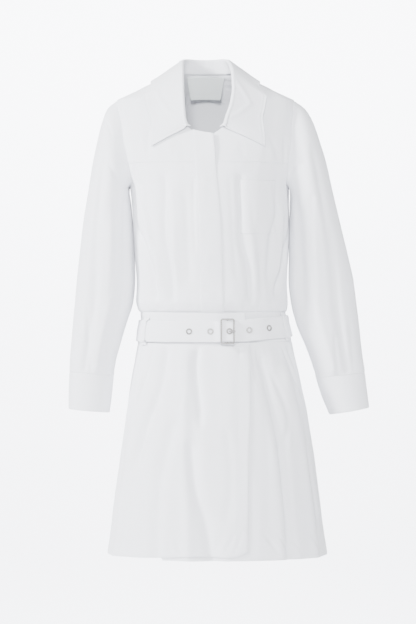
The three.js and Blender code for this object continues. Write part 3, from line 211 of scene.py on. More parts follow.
# Buttons under the placket, which lift it a little. Their place across is a share of its width.
HIDDEN_BUTTONS = {"levels": (-205, -278, -351, -424), "across": 0.45, "radius": 6.5, "rise": 0.7}
SKIRT_EDGE = ((-508, 23.7), (-553, 21.7), (-710, 16.3), (-900, 13.2))
FRONT_EDGE = {"right": -5.5, "left": -5.2}
HEM_RIGHT = ((-90, -914), (-49, -912), (-25, -910), (-8.5, -907), (4.7, -909), (13.2, -900))
HEM_LEVEL = -915
# Stitches that hold the facing of the skirt's opening, and a bar across their end: (angle, level) places.
SKIRT_FLY = (((3.7, -511), (2.8, -580), (2, -652)), ((-0.4, -653), (10, -653)), ((-0.4, -656), (10, -656)))
UNDERLAP = 1.4
TUCK = 2.5  # an edge that goes under the next piece reaches this far past the seam
TUCK_DEPTH = 1.25
UNDERLAP_END = 27
UNDERLAP_OUT = 38
SKIRT_LEFT_EDGE = -28
POCKET = {"inner": 19.5, "outer": 52, "top": -206, "bottom": -306}
WAISTBAND_OVER = 22.5
WAISTBAND_UNDER = -7.5

# Sleeves: outer x and z, inner x and z, half depth, share of the armhole's shape, from the top down.
SLEEVE_RIGHT = (
    (-187, -63, -147, -219, 50, 0.7), (-199, -93, -146.6, -225, 57, 0.35),
    (-209, -133, -145.6, -232, 61, 0.1), (-218, -178, -144.2, -244, 63, 0),
    (-226.5, -230, -142.8, -264, 62, 0), (-235, -285, -140.4, -300, 60, 0),
    (-241.3, -340, -137.8, -345, 57, 0), (-246.5, -393, -135, -395, 53.5, 0),
    (-249.6, -430, -138, -432, 51, 0), (-253.6, -470, -150, -471, 48.5, 0),
    (-256.8, -510, -162, -511, 45.5, 0), (-259.8, -545, -171.5, -548, 40, 0),
    (-260.6, -567.5, -175, -574.5, 34.5, 0),
)
SLEEVE_LEFT = (
    (190, -63, 163.2, -219, 50, 0.7), (206, -89, 163, -225, 56, 0.35), (219, -125, 163, -232, 60, 0.1),
    (232, -168, 163, -244, 62, 0), (244, -222, 163.4, -264, 61, 0), (259, -285, 163, -300, 56, 0),
    (273, -343, 161.6, -347, 52, 0), (284, -393, 159.2, -396, 48.5, 0), (288.5, -430, 163, -434, 46.5, 0),
    (293, -470, 173, -475, 45, 0), (297, -510, 190, -516, 44, 0), (301.5, -546, 204.5, -555, 39, 0),
    (305, -568.5, 211, -579.5, 34, 0),
)
CUFF_RIGHT = (
    (-260.9, -568, -175.5, -575, 33.5), (-262.3, -602, -179, -609, 33), (-262.5, -638, -183.4, -645, 31.5),
)
CUFF_LEFT = (
    (305.5, -569, 211.5, -580, 33.5), (309.5, -602, 222.5, -614, 33), (314, -635.5, 237, -649, 31.5),
)
ARM_MIDDLE_Y = (3, -6)
CUFF_START = 215
CUFF_OVERLAP = 42
CUFF_STEP = (0.08, 0.3)
SLEEVE_LENGTH = 560
SLEEVE_FOLD_FADE = 0.16
SLEEVE_LEAN = 2.4  # the inner side leans on the bodice this far, down to the rings where it leaves it
SLEEVE_LEAVES = (5.5, 7.5)
SLEEVE_CALM = (0.2, 0.8)
# Folds along both sleeves: degrees round from the outer side, share from and to, depth, width, drift.
SLEEVE_FOLDS = (
    (62, 0.1, 1.2, -4.5, 13, 12), (100, 0.3, 1.2, 4, 14, 5), (140, 0.18, 0.8, -4, 13, -14),
    (235, 0.1, 0.9, -4.5, 15, 12), (290, 0.3, 1.2, -4, 15, -10),
)

# Collar from its front end to the middle of the back: neckline level, or angle at the back of the neck,
# fold x on the left and on the right, fold y and z, and the angle and level of its outer edge.
COLLAR = (
    (0, -107, 33, -34, -88, -102, 35, -142), (1, -90, 38, -37, -84, -83, 34.5, -116),
    (2, -68, 46, -39, -76, -59, 34, -90), (3, -42, 50, -40.5, -64, -30, 37, -64),
    (4, -18, 49, -41, -48, -3, 42, -43), (5, -3, 45, -41, -27, 17, 53, -25),
    (6, 90, 41, -40, 2, 28, 90, -13), (7, 113, 36, -36, 24, 32.5, 121, -14),
    (8, 137, 28, -28, 35, 34, 141, -15), (9, 160, 15, -15, 41, 34, 162, -16),
    (10, 180, 0, 0, 43, 34, 180, -16),
)
# Creases on the front of the collar's leaves and of the sleeves: (x, z) places, depth, width.
COLLAR_CREASES = (
    (((-93, -34), (-82, -58), (-68, -77), (-38, -94)), -1.2, 6),
    (((53, -10), (70, -34), (84, -60), (64, -78), (41, -90)), -1.2, 6),
)
SLEEVE_CREASES = {
    "right": (
        (((-187, -92), (-179, -115)), -1.4, 5), (((-181, -175), (-165, -202), (-149, -216)), -2.4, 8),
        (((-200, -210), (-196, -300), (-205, -400), (-214, -520)), -1.6, 8),
        (((-172, -250), (-168, -330), (-180, -420)), -1.5, 7), (((-225, -440), (-218, -566)), -1.7, 6),
        (((-190, -500), (-186, -572)), -1.5, 5),
    ),
    "left": (
        (((172, -69), (169, -110), (166, -157)), -1.6, 6), (((154, -185), (186, -170)), -1.8, 7),
        (((201, -236), (200, -320), (207, -411)), -2.0, 8),
        (((238, -300), (248, -400), (262, -520)), -1.6, 8),
        (((182, -260), (184, -360), (205, -470)), -1.5, 7), (((246, -500), (250, -572)), -1.6, 5),
        (((276, -480), (282, -566)), -1.5, 6),
    ),
}
COLLAR_BACK = 6  # from this row on the foot is given by its angle
COLLAR_WALL = 1.3
COLLAR_FOOT = 1.9
COLLAR_ROLL = 2.7
COLLAR_CLEAR = 3.2

LABEL = {"half_top": 36.5, "half_bottom": 29, "top": 3, "bottom": -42, "hang": 6, "wall": 0.6, "arch": 2}

BELT_LEVEL = ((-180, -484), (-90, -489), (0, -490), (12, -489.5), (43, -484), (90, -480), (180, -484))
BELT_HALF = 20
BELT_WALL = 2
BELT_UNDER = 4.6
BELT_OVER = BELT_UNDER + BELT_WALL + LAY
BELT_START = 7.5
BELT_TIP = -62
BELT_TIP_ROUND = 16
BELT_TIP_BLUNT = 0.3
BELT_RISE = (30, 52.5)
STRAP_RAISE = 3.4
STRAP_RAISED = (14.5, 24)
BUCKLE_ANGLE = 7.7
LOOPS = (("belt_loop_right", -63, 4.2, BELT_OVER), ("belt_loop_left", 68, 4.2, BELT_UNDER))
LOOP_WALL = 1.5
LOOP_REACH = 6
LOOP_BEND = ((2.6, 99), (1.4, 1), (-1, 0))

STEP = 3.2  # size of a mesh cell on the front
BACK_STEP = 4.2
# Rough size of each panel, which sets how many cells it has across and down.
FRONT_WIDTH = 190
YOKE_WIDTH = 150
YOKE_LENGTH = 200
BACK_WIDTH = 480
PLACKET_WIDTH = 32
POCKET_WIDTH = 86
SKIRT_RIGHT_WIDTH = 300
SKIRT_LEFT_WIDTH = 320
SKIRT_BACK_WIDTH = 560
CUFF_ROUND = 262
CUFF_LENGTH = 72
COLLAR_HALF_LENGTH = 330
LEAF_WIDTH = 72
SMALL_STEP = 2.4  # size of a mesh cell on the small pieces
EDGE_STEPS = (0, 0.6, 1.2, 2.0, 3.0, 4.2, 5.2, 6.0, 6.8, 8.0, 9.6, 12.0)  # closer rows beside every edge


def smoothly(value, low, high):
    """Rises from 0 at low to 1 at high."""
    t = np.clip((value - low) / (high - low), 0, 1)
    return t * t * (3 - 2 * t)


def curve(rows, column=1):
    """A smooth curve through one column of a table, which never overshoots its rows."""
    table = np.array(sorted(rows, key=lambda row: row[0]), dtype=float)
    at, value = table[:, 0], table[:, column]
    steps = np.diff(value) / np.diff(at)
    inner = [2 * a * b / (a + b) if a * b > 0 else 0.0 for a, b in zip(steps[:-1], steps[1:])]
    slope = np.array([steps[0], *inner, steps[-1]])

    def value_at(place):
        p = np.clip(place, at[0], at[-1])
        i = np.clip(np.searchsorted(at, p) - 1, 0, len(at) - 2)
        width = at[i + 1] - at[i]
        t = (p - at[i]) / width
        rise = t * t * (3 - 2 * t)
        early = t * (1 - t) ** 2 * width * slope[i]
        late = t * t * (1 - t) * width * slope[i + 1]
        return value[i] * (1 - rise) + value[i + 1] * rise + early - late

    return value_at


body_half, body_front, body_back, body_shift = (curve(BODY_LEVELS, column) for column in (1, 2, 3, 4))
neckline_half = curve(NECKLINE)
placket_edge = curve(PLACKET_EDGE)
skirt_edge = curve(SKIRT_EDGE)
hem_right = curve(HEM_RIGHT)
belt_level = curve(BELT_LEVEL)


class Noise:
    """Smooth noise between -1 and 1 over a plane, the same on every run."""

    SIZE = 64

    def __init__(self, seed):
        self.values = np.random.default_rng(seed).uniform(-1, 1, (self.SIZE, self.SIZE))

    def __call__(self, x, y):
        x, y = np.broadcast_arrays(np.asarray(x, float), np.asarray(y, float))
        i, j = np.floor(x).astype(int), np.floor(y).astype(int)
        u, v = smoothly(x - i, 0, 1), smoothly(y - j, 0, 1)
        corner = lambda a, b: self.values[(i + a) % self.SIZE, (j + b) % self.SIZE]
        low = corner(0, 0) * (1 - u) + corner(1, 0) * u
        high = corner(0, 1) * (1 - u) + corner(1, 1) * u
        return low * (1 - v) + high * v


def path_curve(path):
    """The angle of a fold's middle at a level."""
    return curve([(z, angle) for angle, z in path])


fold_curves = [
    (path_curve(path), path[0][1], path[-1][1], depth, width, fade)
    for rows, fade in ((FOLDS, FOLD_FADE), (CREASES, CREASE_FADE))
    for path, depth, width in rows
]
ripple = Noise(3)
fine_ripple = Noise(8)
RIPPLE = {"across": 15, "along": 120, "height": 0.9}  # soft upright waves of crisp cotton
FINE_RIPPLE = {"across": 6.5, "along": 45, "height": 0.22}


def apart(angle, other):
    """Difference of two angles, from -180 to 180."""
    return (angle - other + 180) % 360 - 180


def fold_height(angle, z, middle, top, bottom, depth, width, fade, reach):
    away = np.radians(apart(angle, middle(z))) * reach / width
    end = np.minimum(top - z, z - bottom)
    return depth * np.exp(-2 * away**2) * smoothly(end, 0, fade)


def hem_crease_height(angle, z, reach):
    lift = np.zeros(np.shape(z))
    if np.min(z) > HEM_CREASES[0][1] + 2 * HEM_CREASE_REACH:
        return lift
    for middle, level, slant, depth, width in HEM_CREASES:
        away = np.radians(apart(angle, middle + slant * (z - level))) * reach / width
        lift = lift + depth * np.exp(-2 * away**2 - ((z - level) / HEM_CREASE_REACH) ** 2)
    return lift


def pucker_height(angle, z, reach):
    low, high = PUCKER_LEVELS
    strength = np.where(z > low, 1 - smoothly(z, low, high), 0)
    if not np.any(strength):
        return strength
    lift = 0
    for middle, width, depth in WAIST_PUCKERS:
        lift = lift + depth * np.exp(-2 * (np.radians(apart(angle, middle)) * reach / width) ** 2)
    return lift * strength


def relief(angle, z):
    """Height of folds and creases over the plain body."""
    reach = (body_half(z) + body_front(z)) / 2
    lift = 0
    for fold in fold_curves:
        lift = lift + fold_height(angle, z, *fold, reach)
    along = np.radians(angle) * reach
    lift = lift + RIPPLE["height"] * ripple(along / RIPPLE["across"], z / RIPPLE["along"])
    lift = lift + FINE_RIPPLE["height"] * fine_ripple(along / FINE_RIPPLE["across"], z / FINE_RIPPLE["along"])
    top, bottom, fade = CALM
    calm = smoothly(np.maximum(z - top, bottom - z), 0, fade)
    lift = lift * calm + hem_crease_height(angle, z, reach)
    return lift + pucker_height(angle, z, reach) * smoothly(z, top - 4, top + 4)


def skin(angle, z):
    """The outer face of the cloth at an angle and level."""
    angle, z = np.broadcast_arrays(np.asarray(angle, float), np.asarray(z, float))
    side, ahead = np.sin(np.radians(angle)), np.cos(np.radians(angle))
    power = 2 / SECTION_POWER
    x = body_half(z) * np.sign(side) * np.abs(side) ** power
    depth = np.where(ahead > 0, body_front(z), body_back(z))
    y = -depth * np.sign(ahead) * np.abs(ahead) ** power
    swell = 1 + relief(angle, z) / np.hypot(x, y)
    return np.stack([body_shift(z) + x * swell, y * swell, z], axis=-1)


def unit(vectors):
    return vectors / np.maximum(np.linalg.norm(vectors, axis=-1, keepdims=True), 1e-9)


def skin_normal(angle, z):
    angle, z = np.asarray(angle, float), np.asarray(z, float)
    across = skin(angle + 0.6, z) - skin(angle - 0.6, z)
    upward = skin(angle, z + 1) - skin(angle, z - 1)
    return unit(np.cross(across, upward))


def on_body(angle, z, lift=0.0):
    return skin(angle, z) + skin_normal(angle, z) * np.asarray(lift, float)[..., None]


def front_angle(x, z):
    """The angle on the front at which the body has a given x at a level."""
    off = x - body_shift(z)
    ratio = np.clip(np.abs(off) / body_half(z), 0, 1)
    return np.sign(off) * np.degrees(np.arcsin(ratio ** (SECTION_POWER / 2)))


def spaced(length, step, start=True, end=True):
    """Places from 0 to 1 along a length, step apart, and closer beside the edges at its start and end."""
    beside = [d for d in EDGE_STEPS if d < length / 2 - step]
    low = beside if start else [0]
    high = beside if end else [0]
    middle = np.linspace(low[-1], length - high[-1], max(2, round((length - low[-1] - high[-1]) / step) + 1))
    places = [*low[:-1], *middle, *[length - d for d in reversed(high[:-1])]]
    return np.array(places) / length


def lengths(points):
    """Distance along a row of points, from 0."""
    return np.concatenate([[0], np.cumsum(np.linalg.norm(np.diff(points, axis=0), axis=1))])


def along(points, places):
    """Points at shares of the length of a line of points."""
    run = lengths(points)
    return np.stack([np.interp(np.asarray(places) * run[-1], run, column) for column in points.T], axis=-1)


def levels(top, bottom, angle, step, start=True, end=True):
    """Levels from top to bottom, evenly spaced over the cloth at an angle."""
    z = np.linspace(top, bottom, 400)
    run = lengths(skin(np.full_like(z, angle), z))
    return np.interp(spaced(run[-1], step, start, end) * run[-1], run, z)


def armhole_reach(z):
    part = np.minimum(np.abs(z - ARMHOLE_MIDDLE) / ARMHOLE_HALF, 1)
    return ARMHOLE_REACH * (1 - part**ARMHOLE_POWER) ** (1 / ARMHOLE_POWER)


def side_edge(z):
    return 90 - np.maximum(armhole_reach(z), SIDE_GAP)


def rim_level(turn):
    """Level of the armhole's rim at a turn round it, with 0 at the top."""
    c = np.cos(turn)
    return ARMHOLE_MIDDLE + ARMHOLE_HALF * np.sign(c) * np.abs(c) ** (2 / ARMHOLE_POWER)


def with_armhole(rows, low, high):
    """Adds the levels that a smooth armhole edge needs between two levels."""
    extra = rim_level(np.radians(np.arange(0, 181, 4)))
    extra = extra[(extra > low) & (extra < high)]
    merged = np.sort(np.concatenate([rows, extra]))[::-1]
    keep = np.concatenate([[True], np.diff(merged) < -0.03])
    return merged[keep]


def grid_normals(grid, wrap=False):
    """Unit normals of a grid of points, as columns across rows."""
    if wrap:
        across = np.roll(grid, -1, axis=1) - np.roll(grid, 1, axis=1)
    else:
        across = np.gradient(grid, axis=1)
    return unit(np.cross(across, np.gradient(grid, axis=0)))


def mesh_object(name, points, faces, material, uvs=None):
    mesh = bpy.data.meshes.new(name)
    mesh.from_pydata((np.asarray(points) * MM).tolist(), [], faces)
    mesh.materials.append(material)
    if uvs is not None:
        layer = mesh.uv_layers.new(name="cloth")
        corners = np.empty(len(mesh.loops), dtype=np.int32)
        mesh.loops.foreach_get("vertex_index", corners)
        layer.data.foreach_set("uv", (np.asarray(uvs) * MM)[corners].ravel().astype(np.float32))
    mesh.shade_smooth()
    piece = bpy.data.objects.new(name, mesh)
    bpy.context.scene.collection.objects.link(piece)
    return piece


def wall(name, outer, inner, material, wrap=False):
    """A closed shell between two grids of points, with rounded rims."""
    rows, columns = outer.shape[:2]
    thick = np.linalg.norm(outer - inner, axis=-1, keepdims=True).mean()
    points = [outer.reshape(-1, 3), inner.reshape(-1, 3)]
    faces = []
    at = lambda face, i, j: face * rows * columns + i * columns + j % columns
    across = columns if wrap else columns - 1
    for i in range(rows - 1):
        for j in range(across):
            faces.append((at(0, i, j), at(0, i, j + 1), at(0, i + 1, j + 1), at(0, i + 1, j)))
            faces.append((at(1, i, j), at(1, i + 1, j), at(1, i + 1, j + 1), at(1, i, j + 1)))
    if wrap:
        loops = [[(0, j) for j in range(columns)], [(rows - 1, j) for j in range(columns)][::-1]]
    else:
        loop = [(0, j) for j in range(columns)] + [(i, columns - 1) for i in range(1, rows)]
        loop += [(rows - 1, j) for j in range(columns - 2, -1, -1)] + [(i, 0) for i in range(rows - 2, 0, -1)]
        loops = [loop]
    start = 2 * rows * columns
    uv_u = np.concatenate([[0], np.cumsum(np.linalg.norm(np.diff(outer, axis=1), axis=2).mean(axis=0))])
    uv_v = np.concatenate([[0], np.cumsum(np.linalg.norm(np.diff(outer, axis=0), axis=2).mean(axis=1))])
    plane = np.stack(np.broadcast_arrays(uv_u[None, :], uv_v[:, None]), axis=-1).reshape(-1, 2)
    uvs = [plane, plane]
    for loop in loops:
        rim = []
        for i, j in loop:
            i2 = min(max(i, 1), rows - 2)
            j2 = j if wrap else min(max(j, 1), columns - 2)
            rim.append((outer[i, j] + inner[i, j]) / 2 + unit(outer[i, j] - outer[i2, j2]) * thick * 0.4)
        points.append(np.array(rim))
        uvs.append(np.array([plane[i * columns + j] for i, j in loop]))
        for k, (i, j) in enumerate(loop):
            i2, j2 = loop[(k + 1) % len(loop)]
            a, b = start + k, start + (k + 1) % len(loop)
            faces.append((at(0, i2, j2), at(0, i, j), a, b))
            faces.append((b, a, at(1, i, j), at(1, i2, j2)))
        start += len(loop)
    piece = mesh_object(name, np.concatenate(points), faces, material, np.concatenate(uvs))
    turn_outward(piece.data)
    return piece


def turn_outward(mesh):
    """Flips the faces of a closed mesh whose volume is negative."""
    count = len(mesh.vertices)
    points = np.empty(count * 3, dtype=np.float32)
    mesh.vertices.foreach_get("co", points)
    points = points.reshape(-1, 3)
    mesh.calc_loop_triangles()
    triangles = np.empty(len(mesh.loop_triangles) * 3, dtype=np.int32)
    mesh.loop_triangles.foreach_get("vertices", triangles)
    a, b, c = points[triangles.reshape(-1, 3)].transpose(1, 0, 2)
    if (a * np.cross(b, c)).sum() < 0:
        mesh.flip_normals()


def distance_to(points, line):
    """Distance from each point to a line of points."""
    flat = points.reshape(-1, 3)
    run = lengths(line)[-1]
    dense = along(line, np.linspace(0, 1, max(2, int(run / 0.8))))
    nearest = np.empty(len(flat))
    for i in range(0, len(flat), 4000):
        part = flat[i : i + 4000]
        square = (part**2).sum(1)[:, None] + (dense**2).sum(1)[None, :] - 2 * part @ dense.T
        nearest[i : i + 4000] = square.min(axis=1)
    return np.sqrt(np.maximum(nearest, 0)).reshape(points.shape[:-1])


# How cloth stands beside an edge: a dip at the seam itself, and a groove under each row of stitches.
EDGE_KINDS = {
    "lapped": {"dip": 0.15, "dip_width": 0.8, "grooves": ((1.8, 0.3, 0.7),), "pucker": 0.2},
    "hem": {"dip": -0.35, "dip_width": 1.6, "grooves": ((-1.6, 0.4, 1.0), (1.8, 0.25, 1.0)), "pucker": 0.25},
    "seam": {"dip": 0.55, "dip_width": 1.6, "grooves": ((6.0, 0.35, 0.9),), "pucker": 0.22},
    "pressed": {"dip": 0.5, "dip_width": 1.4, "grooves": ((1.6, 0.3, 0.7),), "pucker": 0.15},
    "double": {"dip": 0.4, "dip_width": 1.2, "grooves": ((1.6, 0.3, 0.7), (7.0, 0.3, 0.9)), "pucker": 0.2},
    "plain": {"dip": 0.45, "dip_width": 1.5, "grooves": (), "pucker": 0.1},
}
PUCKER = {"along": 9.0, "reach": 11.0}
pucker_noise = Noise(21)


def edge_relief(grid, edges):
    """Height that the seams and stitches beside the given edges add to a grid of points."""
    lift = np.zeros(grid.shape[:2])
    for number, (line, kind) in enumerate(edges):
        edge = EDGE_KINDS[kind]
        away = distance_to(grid, line)
        lift -= edge["dip"] * np.exp(-((away / edge["dip_width"]) ** 2))
        for place, depth, width in edge["grooves"]:
            lift -= depth * np.exp(-(((away - place) / width) ** 2))
        run = (grid @ np.array([1.0, 0.6, 0.9])) / PUCKER["along"]
        lift += edge["pucker"] * pucker_noise(run, number * 7.3) * np.exp(-away / PUCKER["reach"])
    return lift


sheets = {}  # name of a piece: its outer grid and the normals there


def cloth_piece(name, grid, material, edges=(), thick=CLOTH, side=1, wrap=False):
    normals = grid_normals(grid, wrap) * side
    if edges:
        grid = grid + normals * edge_relief(grid, edges)[..., None]
        normals = grid_normals(grid, wrap) * side
    piece = wall(f"{name}_cloth", grid, grid - normals * thick, material, wrap)
    sheets[name] = (grid, normals)
    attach(piece, "root")
    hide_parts(name)
    return piece


def link(tree, source, target):
    tree.links.new(source, target)


def cloth_material(name, color, weave=0.55, depth=0.35, roughness=0.86, sheen=0.12):
    """Plain weave along the two ways of the cloth, with slubs and a faint unevenness of tone."""
    material = bpy.data.materials.new(name)
    material.use_nodes = True
    tree = material.node_tree
    nodes = tree.nodes
    shader = nodes["Principled BSDF"]
    shader.inputs["Roughness"].default_value = roughness
    shader.inputs["Sheen Weight"].default_value = sheen
    shader.inputs["Sheen Roughness"].default_value = 0.5
    shader.inputs["Specular IOR Level"].default_value = 0.25
    uv = nodes.new("ShaderNodeUVMap")
    uv.uv_map = "cloth"
    waves = []
    for direction in ("X", "Y"):
        wave = nodes.new("ShaderNodeTexWave")
        wave.bands_direction = direction
        wave.inputs["Scale"].default_value = 1 / (weave * MM) / math.tau * math.pi
        wave.inputs["Distortion"].default_value = 0.6
        wave.inputs["Detail"].default_value = 1.0
        link(tree, uv.outputs["UV"], wave.inputs["Vector"])
        waves.append(wave)
    weave_mix = nodes.new("ShaderNodeMath")
    weave_mix.operation = "MAXIMUM"
    link(tree, waves[0].outputs["Fac"], weave_mix.inputs[0])
    link(tree, waves[1].outputs["Fac"], weave_mix.inputs[1])
    slub = nodes.new("ShaderNodeTexNoise")
    slub.inputs["Scale"].default_value = 420
    slub.inputs["Detail"].default_value = 3
    link(tree, uv.outputs["UV"], slub.inputs["Vector"])
    height = nodes.new("ShaderNodeMath")
    height.operation = "MULTIPLY_ADD"
    height.inputs[1].default_value = 0.5
    link(tree, slub.outputs["Fac"], height.inputs[0])
    link(tree, weave_mix.outputs[0], height.inputs[2])
    bump = nodes.new("ShaderNodeBump")
    bump.inputs["Strength"].default_value = depth
    bump.inputs["Distance"].default_value = 0.12 * MM
    link(tree, height.outputs[0], bump.inputs["Height"])
    link(tree, bump.outputs["Normal"], shader.inputs["Normal"])
    cloud = nodes.new("ShaderNodeTexNoise")
    cloud.inputs["Scale"].default_value = 28
    cloud.inputs["Detail"].default_value = 4
    link(tree, uv.outputs["UV"], cloud.inputs["Vector"])
    tone = nodes.new("ShaderNodeMix")
    tone.data_type = "RGBA"
    link(tree, cloud.outputs["Fac"], tone.inputs["Factor"])
    tone.inputs["A"].default_value = (*[c * 0.975 for c in color], 1)
    tone.inputs["B"].default_value = (*[min(1, c * 1.02) for c in color], 1)
    link(tree, tone.outputs["Result"], shader.inputs["Base Color"])
    return material


def plain_material(name, color, roughness, metallic=0.0, coat=0.0, grain=900, depth=0.1):
    """Smooth material with a fine grain and worn spots in its gloss."""
    material = bpy.data.materials.new(name)
    material.use_nodes = True
    tree = material.node_tree
    nodes = tree.nodes
    shader = nodes["Principled BSDF"]
    shader.inputs["Metallic"].default_value = metallic
    shader.inputs["Coat Weight"].default_value = coat
    place = nodes.new("ShaderNodeTexCoord")
    noise = nodes.new("ShaderNodeTexNoise")
    noise.inputs["Scale"].default_value = grain
    noise.inputs["Detail"].default_value = 3
    link(tree, place.outputs["Object"], noise.inputs["Vector"])
    gloss = nodes.new("ShaderNodeMapRange")
    gloss.inputs["To Min"].default_value = roughness * 0.8
    gloss.inputs["To Max"].default_value = roughness * 1.25
    link(tree, noise.outputs["Fac"], gloss.inputs["Value"])
    link(tree, gloss.outputs["Result"], shader.inputs["Roughness"])
    tone = nodes.new("ShaderNodeMix")
    tone.data_type = "RGBA"
    link(tree, noise.outputs["Fac"], tone.inputs["Factor"])
    tone.inputs["A"].default_value = (*[c * 0.96 for c in color], 1)
    tone.inputs["B"].default_value = (*color, 1)
    link(tree, tone.outputs["Result"], shader.inputs["Base Color"])
    bump = nodes.new("ShaderNodeBump")
    bump.inputs["Strength"].default_value = depth
    bump.inputs["Distance"].default_value = 0.05 * MM
    link(tree, noise.outputs["Fac"], bump.inputs["Height"])
    link(tree, bump.outputs["Normal"], shader.inputs["Normal"])
    return material


WHITE = (0.83, 0.838, 0.872)
cotton = cloth_material("cotton", WHITE)
belt_cotton = cloth_material("belt_cotton", WHITE, weave=0.6, roughness=0.8)
TAPE_COLOR = (0.66, 0.695, 0.69)
label_tape = cloth_material("label_tape", TAPE_COLOR, weave=0.35, depth=0.2, roughness=0.6, sheen=0.3)
thread = plain_material("thread", (0.86, 0.86, 0.87), 0.6)
pearl = plain_material("pearl", (0.84, 0.83, 0.81), 0.25, coat=0.4)
nickel = plain_material("nickel", (0.42, 0.41, 0.4), 0.26, metallic=1.0)


STITCH = {"length": 2.3, "gap": 0.9, "radius": 0.24, "sides": 6, "stand": 0.05}
STITCH_PROFILE = ((-0.5, 0.25, -0.2), (-0.36, 1, 0), (0.36, 1, 0), (0.5, 0.25, -0.2))  # along, radius, rise


def stitches(name, rows):
    """Rounded stitches along rows of points on the cloth. Each row is a line of points and its normals."""
    points, faces = [], []
    sides = STITCH["sides"]
    turn = np.linspace(0, math.tau, sides, endpoint=False)
    for line, normals in rows:
        run = lengths(line)
        count = int(run[-1] / (STITCH["length"] + STITCH["gap"]))
        if count < 1:
            continue
        at = (np.arange(count) + 0.5) * run[-1] / count
        pick = lambda values, place: np.stack([np.interp(place, run, v) for v in values.T], axis=-1)
        start, end = (pick(line, at + sign * STITCH["length"] / 2) for sign in (-1, 1))
        up = unit(pick(normals, at))
        way = unit(end - start)
        across = np.cross(way, up)
        middle = (start + end) / 2 + up * STITCH["stand"]
        for i in range(count):
            base = len(points)
            for along_share, thick, rise in STITCH_PROFILE:
                centre = middle[i] + way[i] * along_share * STITCH["length"] + up[i] * rise
                ring = across[i] * np.cos(turn)[:, None] + up[i] * np.sin(turn)[:, None]
                points.extend(centre + ring * thick * STITCH["radius"])
            for band in range(len(STITCH_PROFILE) - 1):
                low = base + band * sides
                for j in range(sides):
                    k = (j + 1) % sides
                    faces.append((low + j, low + k, low + sides + k, low + sides + j))
            faces.append(tuple(range(base + sides - 1, base - 1, -1)))
            last = base + (len(STITCH_PROFILE) - 1) * sides
            faces.append(tuple(range(last, last + sides)))
    piece = mesh_object(f"{name}_stitches", points, faces, thread)
    turn_outward(piece.data)
    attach(piece, "root")


def inset(name, side, distance, ends=0.0):
    """A row inside one edge of a built piece, and its normals. Its ends stop short by a length."""
    grid, normals = sheets[name]
    if side in ("bottom", "last"):
        grid, normals = (g[::-1] if side == "bottom" else g[:, ::-1] for g in (grid, normals))
    if side in ("first", "last"):
        grid, normals = grid.transpose(1, 0, 2), normals.transpose(1, 0, 2)
    line, ups = [], []
    for column, up in zip(grid.transpose(1, 0, 2), normals.transpose(1, 0, 2)):
        run = lengths(column)
        line.append([np.interp(distance, run, axis) for axis in column.T])
        ups.append([np.interp(distance, run, axis) for axis in up.T])
    line, ups = np.array(line), np.array(ups)
    run = lengths(line)
    inside = (run >= ends) & (run <= run[-1] - ends)
    return line[inside], ups[inside]


def surface_row(places, lift):
    """A row over the body through (angle, level) places."""
    places = dense_domain(places, 1.0)
    return on_body(places[:, 0], places[:, 1], lift), skin_normal(places[:, 0], places[:, 1])


def body_grid(angles, z, lift=0.0):
    lift = np.broadcast_to(np.asarray(lift, float), angles.shape)
    return on_body(angles, z, lift)


def tuck(past):
    """Lift of an edge that goes under the next piece, from its distance past the seam."""
    return -TUCK_DEPTH * smoothly(past, -2.5, 0.3)


def front_panel(side, edge):
    """Bodice front below the chest seam. Its columns past the pocket are squeezed by the armhole."""
    fixed = POCKET["outer"]
    rows = with_armhole(levels(YOKE - SEAM / 2, WAIST - TUCK, side * 30, STEP), ARMHOLE_BOTTOM - 1, YOKE - 1)
    angles = edge + spaced(FRONT_WIDTH, STEP) * (90 - edge)
    z = rows[:, None]
    squeeze = (side_edge(z) - fixed) / (90 - fixed)
    squeezed = np.where(angles > fixed, fixed + (angles - fixed) * squeeze, angles)
    z = np.broadcast_to(z, squeezed.shape)
    return body_grid(side * squeezed, z, tuck(WAIST - z))


def border(grid, name):
    """One edge of a grid of points."""
    return {"top": grid[0], "bottom": grid[-1], "first": grid[:, 0], "last": grid[:, -1]}[name]


def panel_edges(grid, **kinds):
    return [(border(grid, name), kind) for name, kind in kinds.items()]


for name, side, edge in (("front_left", 1, -FRONT_EDGE["left"]), ("front_right", -1, -FRONT_EDGE["right"])):
    start = -edge if side > 0 else edge
    grid = front_panel(side, start)
    edges = panel_edges(grid, top="lapped", last="plain")
    cloth_piece(name, grid, cotton, edges, side=side * -1)


def dense_domain(points, step=0.5):
    """Adds places between the corners of a line of (angle, level) places."""
    parts = []
    for (a1, z1), (a2, z2) in zip(points[:-1], points[1:]):
        count = max(2, int(max(abs(a2 - a1), abs(z2 - z1)) / step))
        share = np.linspace(0, 1, count, endpoint=False)[:, None]
        parts.append(np.array([a1, z1]) * (1 - share) + np.array([a2, z2]) * share)
    return np.concatenate([*parts, [points[-1]]])


def domain_along(places, shares):
    """(angle, level) places at shares of a line's length over the cloth."""
    places = np.asarray(places, float)
    run = lengths(on_body(places[:, 0], places[:, 1]))
    return np.stack([np.interp(shares * run[-1], run, column) for column in places.T], axis=-1)


def patch(bottom, top, inner, outer, across, upward):
    """(angle, level) places of a sheet stretched between four lines."""
    bottom, top = domain_along(bottom, across), domain_along(top, across)
    inner, outer = domain_along(inner, upward), domain_along(outer, upward)
    u, v = across[None, :, None], upward[:, None, None]
    edges = bottom[None] * (1 - v) + top[None] * v + inner[:, None] * (1 - u) + outer[:, None] * u
    corners = (bottom[0] * (1 - u) + bottom[-1] * u) * (1 - v) + (top[0] * (1 - u) + top[-1] * u) * v
    return edges - corners


